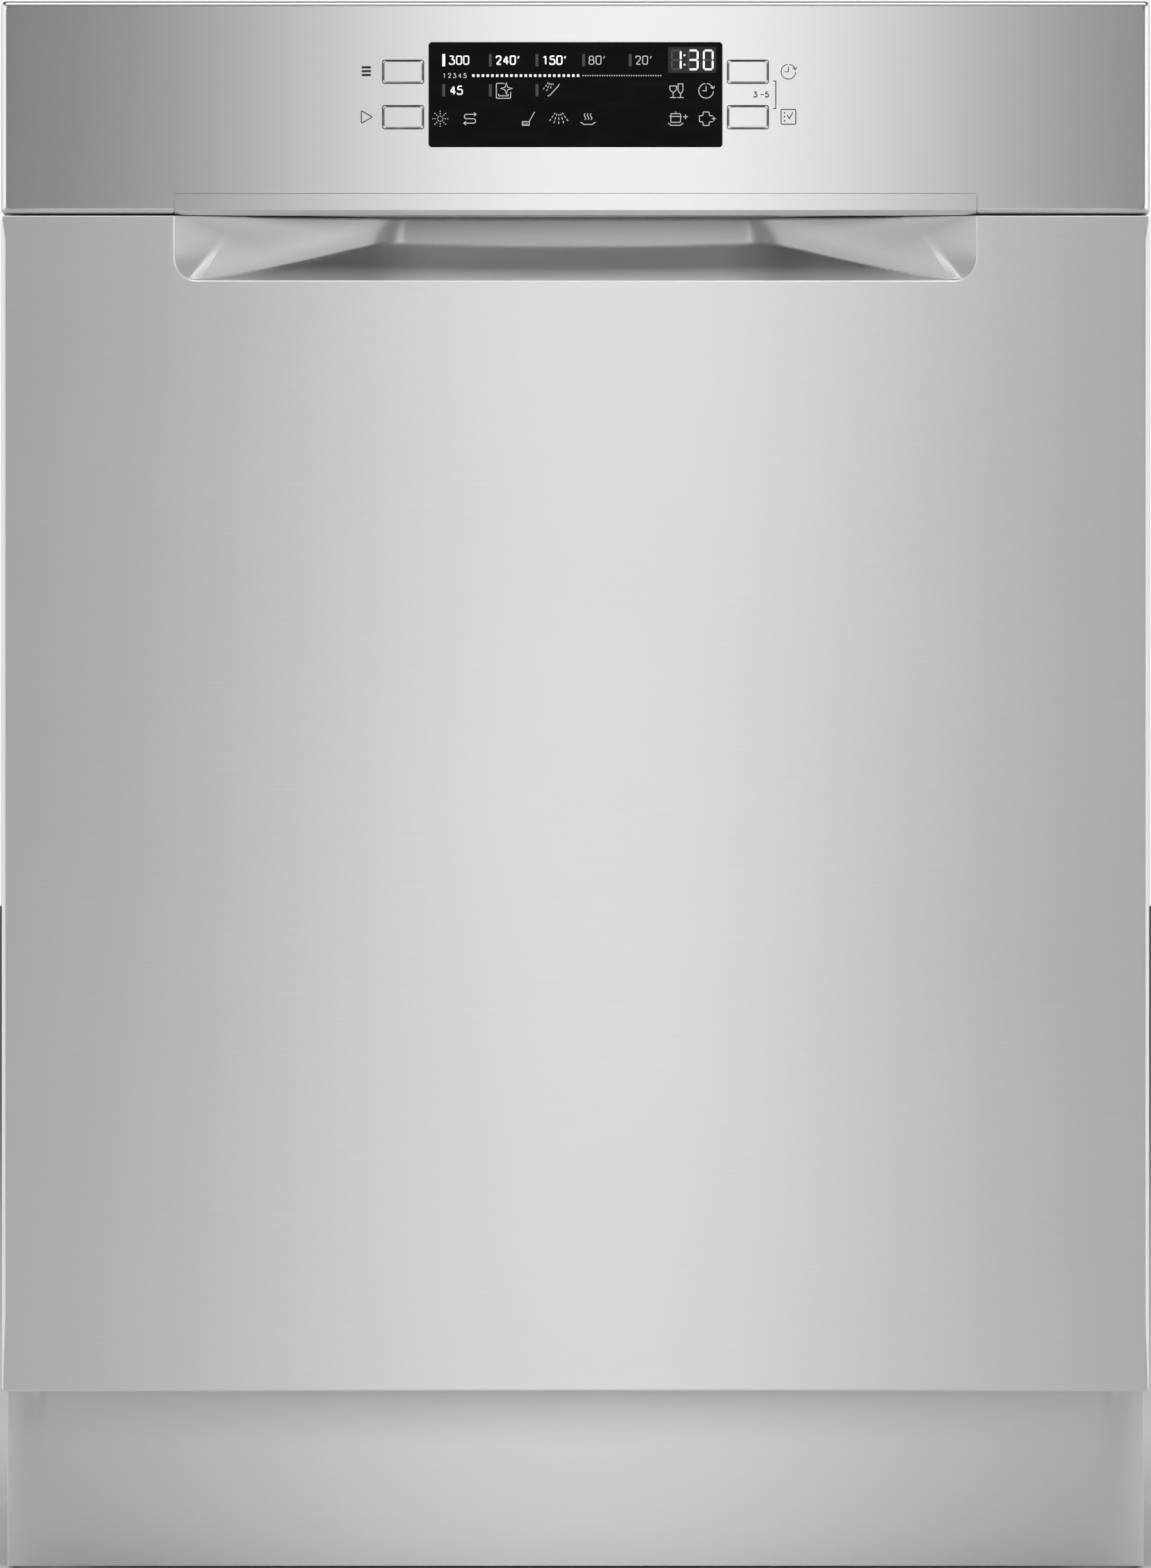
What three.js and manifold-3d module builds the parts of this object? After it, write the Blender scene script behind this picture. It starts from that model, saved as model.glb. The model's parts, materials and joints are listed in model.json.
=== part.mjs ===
// A built-under dishwasher of the 60 cm class, door shut.
//
// Frame: millimetres, +Z up, -Y the front (the side that faces the kitchen), +X to the right as seen
// from the front. The origin is on the floor, under the middle of the machine's footprint.
//
// Three groups of pieces stand in one frame: the cabinet (base, tub, casing and wet works), the door
// (outer panel, control panel, liner and dispenser) and the racks with their spray arms.
import * as THREE from "three";
import { mergeVertices } from "three/addons/utils/BufferGeometryUtils.js";
import Module from "manifold-3d";

const wasm = await Module();
wasm.setup();

// ---------------------------------------------------------------- driving dimensions

const WIDTH = 596;
const HEIGHT = 818;
const DEPTH = 576;

const SEAT = 0.3; // gap between two pieces that touch
const SHEET = 1; // pressed steel sheet
const MOULDING = 3; // wall of the plastic mouldings

// Door
const DOOR_THICKNESS = 48;
const DOOR_BOTTOM_Z = 96;
const FASCIA_HEIGHT = 111; // the control panel, from the machine's top down to the seam
const SEAM_GAP = 0.8;
const DOOR_EDGE_RADIUS = 3;
const FLANGE_DEPTH = 30; // how far the outer panel's edges turn back
const HINGE_RISE = 8; // hinge axis above the door's lower edge
const HINGE_NOSE = 10; // radius of the bracket's nose round the axis
const HINGE_PLATE = 3.6;
const LINER_DISH_DEPTH = 8;
const LINER_DISH_MARGIN = 40;
const LINER_TURN = 22; // how far the liner's edges turn forward

// Handle pocket and grip
const POCKET_WIDTH = 416;
const POCKET_HEIGHT = 34;
const POCKET_DEPTH = 30;
const POCKET_CORNER = 12;
const POCKET_FLOOR_RISE = 21.5; // how far the scooped floor climbs on its way to the back wall
const POCKET_WING = 108.5; // length of each sloping end of the pocket
const GRIP_FACE_HEIGHT = 11;
const GRIP_CHAMFER = 2.5;
const GRIP_ROOM = 23; // height of the finger space behind the grip

// Control panel
const DISPLAY_WIDTH = 152;
const DISPLAY_HEIGHT = 54;
const DISPLAY_DROP = 48.6; // the display's middle below the machine's top
const BUTTON_WIDTH = 21;
const BUTTON_HEIGHT = 11.8;
const BUTTON_X = 89.5;
const BUTTON_DROPS = [36.7, 60.3]; // the two rows of buttons below the machine's top
const BUTTON_LENGTH = 8;
const BUTTON_TRAVEL = 1.2;
const CONTROL_BOX_WIDTH = 330;
const CONTROL_BOX_HEIGHT = 66;
const CONTROL_BOX_DEPTH = 22;

// Cabinet
const PLINTH_RECESS = 60;
const PLINTH_LIFT = 1;
const PLINTH_HEIGHT = 112;
const CASING_INSET = 0.8; // casing side behind the door's side
const BASE_LIFT = 16;
const BASE_SIDE_GAP = 15; // room beside the base for the hinge gear
const BASE_FRONT_GAP = 6; // base front behind the plinth
const TUB_SIDE_GAP = 16;
const TUB_FLOOR_Z = 148;
const TUB_CEILING_GAP = 29;
const TUB_FRONT_GAP = 8; // tub flange behind the door liner
const TUB_BACK_GAP = 26;
const TUB_CORNER = 18;
const TUB_FLOOR_CORNER = 7;
const TUB_FLANGE = 12;
const SEAL_WIDTH = 9;
const TONGUE_RISE = 3.6; // latch tongue above the tub's flange
const TONGUE_THICKNESS = 5;
const TONGUE_HALF_WIDTH = 8;
const FOOT_RADIUS = 18;
const FOOT_STEM_RADIUS = 5;
const FOOT_INSET_X = 40;
const FOOT_INSET_Y = 34;
const FRONT_FOOT_SETBACK = 110; // front feet behind the plinth, clear of the hinge gear

// Wet works
const ARM_AXIS_Y = 16; // the three spray arms turn on one upright line
const ARM_PIN_RADIUS = 7;
const ARM_THICKNESS = 12;
const FILTER_X = 95;
const FILTER_RADIUS = 40;
const FEED_WIDTH = 36;
const FEED_THICKNESS = 8;

// Racks
const WIRE = 3.6;
const RACK_FRONT_GAP = 32; // door liner to the racks' front wires
const RACK_BACK_GAP = 17;
const LOWER_RACK_SIDE_GAP = 23.2; // room for the wheels
const LOWER_RACK_FLOOR_Z = 190;
const LOWER_RACK_WALL = 104;
const UPPER_RACK_SIDE_GAP = 31.2; // room for carriers, rollers and runners
const UPPER_RACK_FLOOR_Z = 472;
const UPPER_RACK_WALL = 92;
const WHEEL_RADIUS = 18;
const WHEEL_WIDTH = 9;
const AXLE_RADIUS = 3;
const RUNNER_Z = 524;
const RUNNER_HEIGHT = 28;
const RUNNER_DEPTH = 12;
const ROLLER_RADIUS = 10;
const RACK_LIFT = 50; // how far the upper rack can be raised on its carriers

// ---------------------------------------------------------------- planes worked out from them

const HALF_WIDTH = WIDTH / 2;
const FRONT_Y = -DEPTH / 2;
const BACK_Y = DEPTH / 2;
const SEAM_Z = HEIGHT - FASCIA_HEIGHT; // between the outer panel and the control panel
const DISPLAY_Z = HEIGHT - DISPLAY_DROP;
const BUTTON_Z = BUTTON_DROPS.map((drop) => HEIGHT - drop);
const LINER_Y = FRONT_Y + DOOR_THICKNESS; // the liner's wet face, which is also the hinge axis
const HINGE_Z = DOOR_BOTTOM_Z + HINGE_RISE;
const LINER_DISH_Y = LINER_Y - LINER_DISH_DEPTH;
const LINER_HALF_WIDTH = HALF_WIDTH - SHEET - SEAT;
const CASING_HALF_WIDTH = HALF_WIDTH - CASING_INSET;
const BASE_HALF_WIDTH = CASING_HALF_WIDTH - SHEET - BASE_SIDE_GAP;
const PLINTH_Y = FRONT_Y + PLINTH_RECESS;
const BASE_FRONT_Y = PLINTH_Y + BASE_FRONT_GAP;
const TUB_HALF_WIDTH = CASING_HALF_WIDTH - SHEET - TUB_SIDE_GAP;
const TUB_FRONT_Y = LINER_Y + TUB_FRONT_GAP;
const TUB_BACK_Y = BACK_Y - TUB_BACK_GAP;
const TUB_CEILING_Z = HEIGHT - TUB_CEILING_GAP;
const TUB_INNER = TUB_HALF_WIDTH - SHEET;
const LOWER_RACK_HALF_WIDTH = TUB_INNER - LOWER_RACK_SIDE_GAP;
const UPPER_RACK_HALF_WIDTH = TUB_INNER - UPPER_RACK_SIDE_GAP;
const TONGUE_Z = [0, TONGUE_THICKNESS].map((z) => TUB_CEILING_Z + TUB_FLANGE + TONGUE_RISE + z);
const BASE_TOP_Z = TUB_FLOOR_Z - SHEET - SEAT;
const BRACKET_X = [BASE_HALF_WIDTH + SEAT, BASE_HALF_WIDTH + SEAT + HINGE_PLATE];
const HINGE_ARM_X = [BRACKET_X[1] + 1, BRACKET_X[1] + 1 + HINGE_PLATE];
const RACK_FRONT_Y = LINER_Y + RACK_FRONT_GAP;
const RACK_BACK_Y = TUB_BACK_Y - RACK_BACK_GAP;
const POCKET_FLOOR_Z = SEAM_Z - POCKET_HEIGHT;

// ---------------------------------------------------------------- materials

const paint = (color, roughness, metalness) =>
  new THREE.MeshStandardMaterial({ color, roughness, metalness });

const MATERIALS = {
  brushedSteel: paint(0xc9c8c6, 0.34, 1),
  panelSteel: paint(0xcfcecc, 0.38, 1),
  tubSteel: paint(0xc4c6c8, 0.25, 1),
  zincSheet: paint(0xa9adb0, 0.5, 1),
  plinthGrey: paint(0xb9b9b8, 0.55, 0.2),
  blackGlass: paint(0x0c0d0f, 0.12, 0),
  rubber: paint(0x2a2b2d, 0.8, 0),
  greyPlastic: paint(0x8f9498, 0.5, 0),
  darkPlastic: paint(0x3b3d40, 0.55, 0),
  whitePlastic: paint(0xe4e5e4, 0.45, 0),
  coatedWire: paint(0xaeb3b8, 0.45, 0),
};

// ---------------------------------------------------------------- solid helpers

// A closed three.js geometry as a solid that manifold-3d can join and cut.
function solidOf(geometry) {
  const bare = geometry.index ? geometry.toNonIndexed() : geometry.clone();
  for (const name of Object.keys(bare.attributes)) {
    if (name !== "position") bare.deleteAttribute(name);
  }
  const merged = mergeVertices(bare, 1e-3);
  const triVerts = new Uint32Array(merged.index.array);
  const build = () =>
    new wasm.Manifold(
      new wasm.Mesh({ numProp: 3, vertProperties: merged.attributes.position.array, triVerts }),
    );
  const made = build();
  if (made.volume() > 0) return made;
  for (let i = 0; i < triVerts.length; i += 3) {
    [triVerts[i + 1], triVerts[i + 2]] = [triVerts[i + 2], triVerts[i + 1]];
  }
  return build();
}

// A solid as a three.js geometry.
function geometryOf(solid) {
  const mesh = solid.getMesh();
  const position = new Float32Array(mesh.numVert * 3);
  for (let i = 0; i < mesh.numVert; i++) {
    for (let k = 0; k < 3; k++) position[3 * i + k] = mesh.vertProperties[mesh.numProp * i + k];
  }
  return new THREE.BufferGeometry()
    .setAttribute("position", new THREE.BufferAttribute(position, 3))
    .setIndex(new THREE.BufferAttribute(mesh.triVerts, 1));
}

const union = (...solids) => wasm.Manifold.union(solids.flat(Infinity));
const cut = (solid, ...tools) => solid.subtract(union(...tools));

// A box between two values on each axis.
function block([x0, x1], [y0, y1], [z0, z1]) {
  const box = new THREE.BoxGeometry(x1 - x0, y1 - y0, z1 - z0);
  return solidOf(box.translate((x0 + x1) / 2, (y0 + y1) / 2, (z0 + z1) / 2));
}

// Where a flat shape's own axes go when it is extruded along X, Y or Z.
// Along X a shape is drawn in (y, z), along Y in (x, z) and along Z in (x, y).
const EXTRUSION_FRAMES = {
  x: (from) => new THREE.Matrix4().set(0, 0, 1, from, 1, 0, 0, 0, 0, 1, 0, 0, 0, 0, 0, 1),
  y: (from, to) => new THREE.Matrix4().set(1, 0, 0, 0, 0, 0, -1, to, 0, 1, 0, 0, 0, 0, 0, 1),
  z: (from) => new THREE.Matrix4().makeTranslation(0, 0, from),
};

// A flat shape extruded along an axis from one value to another.
function prism(axis, shape, [from, to]) {
  const geometry = new THREE.ExtrudeGeometry(shape, { depth: to - from, bevelEnabled: false });
  return solidOf(geometry.applyMatrix4(EXTRUSION_FRAMES[axis](from, to)));
}

const spread = (count, from, to) =>
  Array.from({ length: count }, (_, i) => from + (to - from) * (count > 1 ? i / (count - 1) : 0.5));

const arc = ([u, v], radius, from, to, steps) =>
  spread(steps + 1, from, to).map((a) => [u + radius * Math.cos(a), v + radius * Math.sin(a)]);

// A closed outline through points, without those that fall on the one before.
function polygon(points) {
  const line = points.map(([u, v]) => new THREE.Vector2(u, v));
  return new THREE.Shape(line.filter((p, i) => p.distanceTo(line.at(i - 1)) > 1e-4));
}

// A rectangle with round corners. radii holds one radius, or four: low-left, low-right, top-right, top-left.
function roundRect([u0, u1], [v0, v1], radii = 0, steps = 2) {
  const [a, b, c, d] = Array.isArray(radii) ? radii : [radii, radii, radii, radii];
  const corner = (u, v, radius, turn) =>
    radius > 0 ? arc([u, v], radius, turn, turn + Math.PI / 2, steps) : [[u, v]];
  return polygon([
    ...corner(u0 + a, v0 + a, a, Math.PI),
    ...corner(u1 - b, v0 + b, b, 1.5 * Math.PI),
    ...corner(u1 - c, v1 - c, c, 0),
    ...corner(u0 + d, v1 - d, d, 0.5 * Math.PI),
  ]);
}

const disc = (centre, radius, sides = 12) => polygon(arc(centre, radius, 0, 2 * Math.PI, sides));

// A round bar or hole along an axis, centred on two values of the other axes.
const rod = (axis, centre, radius, span, sides = 12) => prism(axis, disc(centre, radius, sides), span);

// A strip of constant width along a polyline in a plane, mitred where it turns.
function strip(points, width, closed = false) {
  const line = points.map(([u, v]) => new THREE.Vector2(u, v));
  const count = line.length;
  const side = (sign) =>
    line.map((point, i) => {
      const before = closed || i > 0 ? line[(i - 1 + count) % count] : null;
      const after = closed || i < count - 1 ? line[(i + 1) % count] : null;
      const into = before ? point.clone().sub(before).normalize() : null;
      const out = after ? after.clone().sub(point).normalize() : null;
      const along = into && out ? into.clone().add(out).normalize() : (into ?? out);
      const normal = new THREE.Vector2(-along.y, along.x);
      const stretch = into ? 1 / Math.abs(along.dot(into)) : 1;
      return point.clone().addScaledVector(normal, (sign * width * stretch) / 2);
    });
  if (!closed) return new THREE.Shape([...side(1), ...side(-1).reverse()]);
  const [one, other] = [side(1), side(-1)];
  const area = Math.abs(THREE.ShapeUtils.area(one)) - Math.abs(THREE.ShapeUtils.area(other));
  const [outer, inner] = area > 0 ? [one, other] : [other, one];
  const shape = new THREE.Shape(outer);
  shape.holes.push(new THREE.Path(inner));
  return shape;
}

// A polyline with each inner corner replaced by a short round bend.
function bent(points, radius, steps = 3) {
  const line = points.map(([u, v]) => new THREE.Vector2(u, v));
  const made = [points[0]];
  for (let i = 1; i < line.length - 1; i++) {
    const toward = line[i - 1].clone().sub(line[i]).normalize();
    const away = line[i + 1].clone().sub(line[i]).normalize();
    const start = line[i].clone().addScaledVector(toward, radius);
    const end = line[i].clone().addScaledVector(away, radius);
    const curve = new THREE.QuadraticBezierCurve(start, line[i], end);
    made.push(...curve.getPoints(steps).map((p) => [p.x, p.y]));
  }
  made.push(points[points.length - 1]);
  return made;
}

// A skin over rings of points, with both end rings capped. All rings have the same number of points.
function loft(rings) {
  const sides = rings[0].length;
  const points = rings.flat();
  const index = [];
  for (let r = 0; r < rings.length - 1; r++) {
    for (let s = 0; s < sides; s++) {
      const [a, b] = [r * sides + s, r * sides + ((s + 1) % sides)];
      index.push(a, b, b + sides, a, b + sides, a + sides);
    }
  }
  const last = (rings.length - 1) * sides;
  for (let s = 1; s < sides - 1; s++) {
    index.push(0, s + 1, s);
    index.push(last, last + s, last + s + 1);
  }
  const geometry = new THREE.BufferGeometry().setFromPoints(points);
  return solidOf(geometry.setIndex(index));
}

// A ring of points: a rectangle with round corners, lying in the plane of constant y.
const ringAtY = (y, spanX, spanZ, radii, steps = 2) =>
  roundRect(spanX, spanZ, radii, steps).getPoints().map((p) => new THREE.Vector3(p.x, y, p.y));

// A solid of revolution about an upright line; the profile is a list of [radius, z].
function turned(profile, [x, y] = [0, 0], segments = 16) {
  const points = profile.map(([r, z]) => new THREE.Vector2(r, z));
  const geometry = new THREE.LatheGeometry(points, segments);
  return solidOf(geometry.rotateX(Math.PI / 2).translate(x, y, 0));
}

const mirrored = (solid) => solid.mirror([1, 0, 0]);
const both = (solid) => union(solid, mirrored(solid));

const about = (centre, width) => [centre - width / 2, centre + width / 2];
const wide = (half) => [-half, half];
const inset = ([from, to], amount) => [from + amount, to - amount];

// A tapered block lying across Y: one rounded rectangle at y0, one narrower by slope at y1.
const dishForm = (y0, y1, spanX, spanZ, slope, corner) =>
  loft([
    ringAtY(y0, spanX, spanZ, corner + slope),
    ringAtY(y1, inset(spanX, slope), inset(spanZ, slope), corner),
  ]);

// A tray lying across Y, open at backY, with its front edges rolled round.
function panForm(frontY, backY, spanX, spanZ, edge, corner) {
  const rolled = spread(4, 0, Math.PI / 2).map((angle) => {
    const back = edge * (1 - Math.sin(angle));
    const y = frontY + edge * (1 - Math.cos(angle));
    return ringAtY(y, inset(spanX, back), inset(spanZ, back), corner);
  });
  return loft([...rolled, ringAtY(backY, spanX, spanZ, corner)]);
}

function openPan(frontY, backY, spanX, spanZ, wall, edge, corner) {
  const hollow = [inset(spanX, wall), inset(spanZ, wall)];
  return cut(
    panForm(frontY, backY, spanX, spanZ, edge, corner),
    panForm(frontY + wall, backY + wall, ...hollow, Math.max(edge - wall, 0.4), corner),
  );
}

// ---------------------------------------------------------------- the group and its nodes

const dishwasher = new THREE.Group();

function add(name, solid, material) {
  const mesh = new THREE.Mesh(geometryOf(solid), material);
  mesh.name = name;
  dishwasher.add(mesh);
}

const addPair = (name, solid, material) => {
  add(`right_${name}`, solid, material);
  add(`left_${name}`, mirrored(solid), material);
};

// ---------------------------------------------------------------- cabinet

const SKIRT_HALF_WIDTH = CASING_HALF_WIDTH - SHEET - SEAT;
const SKIRT_TOP_Z = 46;
const BASE_BACK_Y = BACK_Y - SHEET - SEAT;
const SIDE_HOOK_Y = -150; // the base's skirt starts behind the hinge gear

const SUMP_X = [-46, 152];
const SUMP_HALF_DEPTH = 60;
const SUMP_Z = [60, TUB_FLOOR_Z - SHEET - SEAT];
const SUMP_RIM = 10;
const sumpY = about(ARM_AXIS_Y, 2 * SUMP_HALF_DEPTH);

const SALT_X = -(BASE_HALF_WIDTH - 75.2);
const SALT_Y = -120;
const SALT_NECK_RADIUS = 26;

const FOOT_PLACES = {
  foot_front_left: [-(SKIRT_HALF_WIDTH - FOOT_INSET_X), PLINTH_Y + FRONT_FOOT_SETBACK],
  foot_front_right: [SKIRT_HALF_WIDTH - FOOT_INSET_X, PLINTH_Y + FRONT_FOOT_SETBACK],
  foot_rear: [0, BASE_BACK_Y - FOOT_INSET_Y],
};
const FOOT_PAD_HEIGHT = 9;
const FOOT_BOSS_RADIUS = 10;
const FOOT_BOSS_TOP_Z = 58;

const INLET_X = BASE_HALF_WIDTH - 67.2;
const HOSE_PORT_X = -(BASE_HALF_WIDTH - 81.2);
const INLET_Z = 84;
const INLET_RADIUS = 12.5;

// The base tray: a wide skirt under the casing, a narrower tray under the tub and bosses for the feet.
function makeBase() {
  const skirt = block(wide(SKIRT_HALF_WIDTH), [SIDE_HOOK_Y, BASE_BACK_Y], [BASE_LIFT, SKIRT_TOP_Z]);
  const tray = block(wide(BASE_HALF_WIDTH), [BASE_FRONT_Y, BASE_BACK_Y], [BASE_LIFT, BASE_TOP_Z]);
  const hollow = prism(
    "z",
    roundRect(
      wide(BASE_HALF_WIDTH - MOULDING),
      [BASE_FRONT_Y + MOULDING, BASE_BACK_Y - MOULDING],
      14,
    ),
    [BASE_LIFT + MOULDING, BASE_TOP_Z + 1],
  );
  const places = Object.values(FOOT_PLACES);
  const bosses = places.map((at) => rod("z", at, FOOT_BOSS_RADIUS, [BASE_LIFT, FOOT_BOSS_TOP_Z]));
  const sockets = places.map((at) =>
    rod("z", at, FOOT_STEM_RADIUS + SEAT, [BASE_LIFT - 1, FOOT_BOSS_TOP_Z - MOULDING], 12),
  );
  const plinthPosts = [-1, 0, 1].map((side) => side * (HALF_WIDTH - 98)).map((x) =>
    rod("y", [x, PLINTH_HEIGHT - 22], 7, [PLINTH_Y + SHEET + SEAT, BASE_FRONT_Y + 1], 12),
  );
  const inletHole = rod("y", [INLET_X, INLET_Z], INLET_RADIUS + 2, [BASE_BACK_Y - 6, BASE_BACK_Y + 1]);
  const hosePort = prism("y", roundRect(about(HOSE_PORT_X, 60), about(70, 40), 12), [
    BASE_BACK_Y - 6,
    BASE_BACK_Y + 1,
  ]);
  const body = cut(union(skirt, tray), hollow);
  return cut(union(body, bosses, plinthPosts), sockets, inletHole, hosePort);
}
add("base", makeBase(), MATERIALS.darkPlastic);

for (const [name, [x, y]] of Object.entries(FOOT_PLACES)) {
  const pad = [
    [0, 0],
    [FOOT_RADIUS - 2, 0],
    [FOOT_RADIUS, 2],
    [FOOT_RADIUS * 0.55, FOOT_PAD_HEIGHT],
    [FOOT_STEM_RADIUS, FOOT_PAD_HEIGHT],
    [FOOT_STEM_RADIUS, FOOT_BOSS_TOP_Z - MOULDING - SEAT],
    [0, FOOT_BOSS_TOP_Z - MOULDING - SEAT],
  ];
  add(name, turned(pad, [x, y], 12), MATERIALS.darkPlastic);
}

// The tub: a deep drawn box with round corners, a flange round its mouth and holes for what passes through.
const tubSpanX = wide(TUB_HALF_WIDTH);
const tubSpanZ = [TUB_FLOOR_Z - SHEET, TUB_CEILING_Z];

// The lower rack's wheels roll on two rails pressed up out of the tub's floor.
const wheelX = [LOWER_RACK_HALF_WIDTH + 6, LOWER_RACK_HALF_WIDTH + 6 + WHEEL_WIDTH];
const RAIL_HEIGHT = 8;
const RAIL_SPAN_Y = [-170, 190];

// The tub's outline across Y, grown by an amount: tight corners at the floor, wider ones at the ceiling.
function tubOutline(grow) {
  const radii = [TUB_FLOOR_CORNER, TUB_FLOOR_CORNER, TUB_CORNER, TUB_CORNER].map((r) => r + grow);
  return roundRect(inset(tubSpanX, -grow), inset(tubSpanZ, -grow), radii);
}

function makeTub() {
  const shell = prism("y", tubOutline(0), [TUB_FRONT_Y, TUB_BACK_Y]);
  const flange = prism("y", tubOutline(TUB_FLANGE), [TUB_FRONT_Y, TUB_FRONT_Y + SHEET]);
  const hollow = prism("y", tubOutline(-SHEET), [TUB_FRONT_Y - 1, TUB_BACK_Y - SHEET]);
  const sumpHole = prism("z", roundRect(inset(SUMP_X, 8), inset(sumpY, 8), 30), [
    TUB_FLOOR_Z - 5,
    TUB_FLOOR_Z + 5,
  ]);
  const saltHole = rod("z", [SALT_X, SALT_Y], SALT_NECK_RADIUS + 1, [TUB_FLOOR_Z - 5, TUB_FLOOR_Z + 5]);
  const rail = block(inset(wheelX, -1.5), RAIL_SPAN_Y, [TUB_FLOOR_Z - SHEET / 2, TUB_FLOOR_Z + RAIL_HEIGHT]);
  const pressing = cut(union(shell, flange), hollow, sumpHole, saltHole);
  return union(pressing, both(rail));
}
add("tub", makeTub(), MATERIALS.tubSteel);

function makeDoorSeal() {
  const [outer, inner] = [1, -1].map((side) => tubOutline((TUB_FLANGE + side * SEAL_WIDTH) / 2));
  const ring = prism("y", outer, [LINER_Y + SEAT, TUB_FRONT_Y - SEAT]);
  return cut(ring, prism("y", inner, [LINER_Y - 1, TUB_FRONT_Y + 1]));
}
add("door_seal", makeDoorSeal(), MATERIALS.rubber);

// Casing: each side is one folded sheet with a shallow recess along its length and a return behind the flange.
const CASING_FRONT_Y = TUB_FRONT_Y + SHEET + SEAT + SHEET / 2;
const CASING_RECESS = 4;
const CASING_FRONT_FIELD = 44; // flat strip in front of the recess
const CASING_REAR_FIELD = 54;
const CASING_RAMP = 12;
const CASING_BOTTOM_Z = BASE_LIFT + 4;
const CASING_TOP_Z = HEIGHT - 2 * SHEET - SEAT;
const TOE_NOTCH_Y = SIDE_HOOK_Y;
const HINGE_ZONE_Z = 206;
function makeSidePanel() {
  const outer = CASING_HALF_WIDTH - SHEET / 2;
  const outline = [
    [TUB_HALF_WIDTH + 5, CASING_FRONT_Y],
    [outer, CASING_FRONT_Y],
    [outer, CASING_FRONT_Y + CASING_FRONT_FIELD],
    [outer - CASING_RECESS, CASING_FRONT_Y + CASING_FRONT_FIELD + CASING_RAMP],
    [outer - CASING_RECESS, BASE_BACK_Y - CASING_REAR_FIELD - CASING_RAMP],
    [outer, BASE_BACK_Y - CASING_REAR_FIELD],
    [outer, BASE_BACK_Y],
  ];
  const sheet = prism("z", strip(outline, SHEET), [CASING_BOTTOM_Z, CASING_TOP_Z]);
  const toeNotch = block(
    [TUB_HALF_WIDTH, WIDTH],
    [FRONT_Y, TOE_NOTCH_Y],
    [0, PLINTH_HEIGHT + 3],
  );
  const hingeNotch = block(
    [TUB_HALF_WIDTH, outer - SHEET / 2],
    [FRONT_Y, CASING_FRONT_Y + SHEET],
    [0, HINGE_ZONE_Z],
  );
  const skirtNotch = block(
    [0, SKIRT_HALF_WIDTH + SEAT],
    [SIDE_HOOK_Y - 1, BACK_Y],
    [0, SKIRT_TOP_Z + SEAT],
  );
  return cut(sheet, toeNotch, hingeNotch, skirtNotch);
}
addPair("side_panel", makeSidePanel(), MATERIALS.zincSheet);

const REAR_PANEL_Z = [BASE_TOP_Z + SEAT, CASING_TOP_Z];
function makeRearPanel() {
  const spanX = wide(CASING_HALF_WIDTH);
  const plate = block(spanX, [BACK_Y - SHEET, BACK_Y], REAR_PANEL_Z);
  const dish = [inset(spanX, 50), inset(REAR_PANEL_Z, 60)];
  const pressed = dishForm(BACK_Y - SHEET / 2, BACK_Y - 8, inset(dish[0], -1), inset(dish[1], -1), 12, 24);
  const hollow = dishForm(BACK_Y + SHEET, BACK_Y - 8 + SHEET, ...dish, 12, 24);
  return cut(union(plate, pressed), hollow);
}
add("rear_panel", makeRearPanel(), MATERIALS.zincSheet);

function makeTopPlate() {
  const top = HEIGHT - SHEET;
  const drop = top - (TUB_CEILING_Z + TUB_FLANGE + SEAT);
  const outline = [
    [TUB_FRONT_Y + SHEET / 2, top - drop],
    [TUB_FRONT_Y + SHEET / 2, top - SHEET / 2],
    [-120, top - SHEET / 2],
    [-110, top - 5],
    [160, top - 5],
    [170, top - SHEET / 2],
    [BACK_Y, top - SHEET / 2],
  ];
  const plate = prism("x", strip(outline, SHEET), wide(CASING_HALF_WIDTH - CASING_RECESS - SHEET - SEAT));
  const tongueSlot = block(wide(TONGUE_HALF_WIDTH + 3), about(TUB_FRONT_Y, 12), inset(TONGUE_Z, -2));
  return cut(plate, tongueSlot);
}
add("top_plate", makeTopPlate(), MATERIALS.zincSheet);

// The plinth panel: a plain sheet with its ends turned back.
function makePlinth() {
  const x = HALF_WIDTH - SHEET / 2;
  const y = PLINTH_Y + SHEET / 2;
  const outline = bent([[-x, y + 18], [-x, y], [x, y], [x, y + 18]], 3);
  const sheet = prism("z", strip(outline, SHEET), [PLINTH_LIFT, PLINTH_HEIGHT]);
  const hingeNotch = block([BRACKET_X[0] - 3, HINGE_ARM_X[1] + 4], [FRONT_Y, 0], [
    HINGE_Z - HINGE_NOSE - 2,
    PLINTH_HEIGHT + 1,
  ]);
  return cut(sheet, both(hingeNotch));
}
add("plinth", makePlinth(), MATERIALS.plinthGrey);

// ---------------------------------------------------------------- wet works

const POST_TOP_Z = TUB_FLOOR_Z + 24;
const ARM_GAP = 1;
const FILTER_PLATE_Z = [TUB_FLOOR_Z + SEAT, TUB_FLOOR_Z + 3];
const COARSE_BOTTOM_Z = 92;

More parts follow.
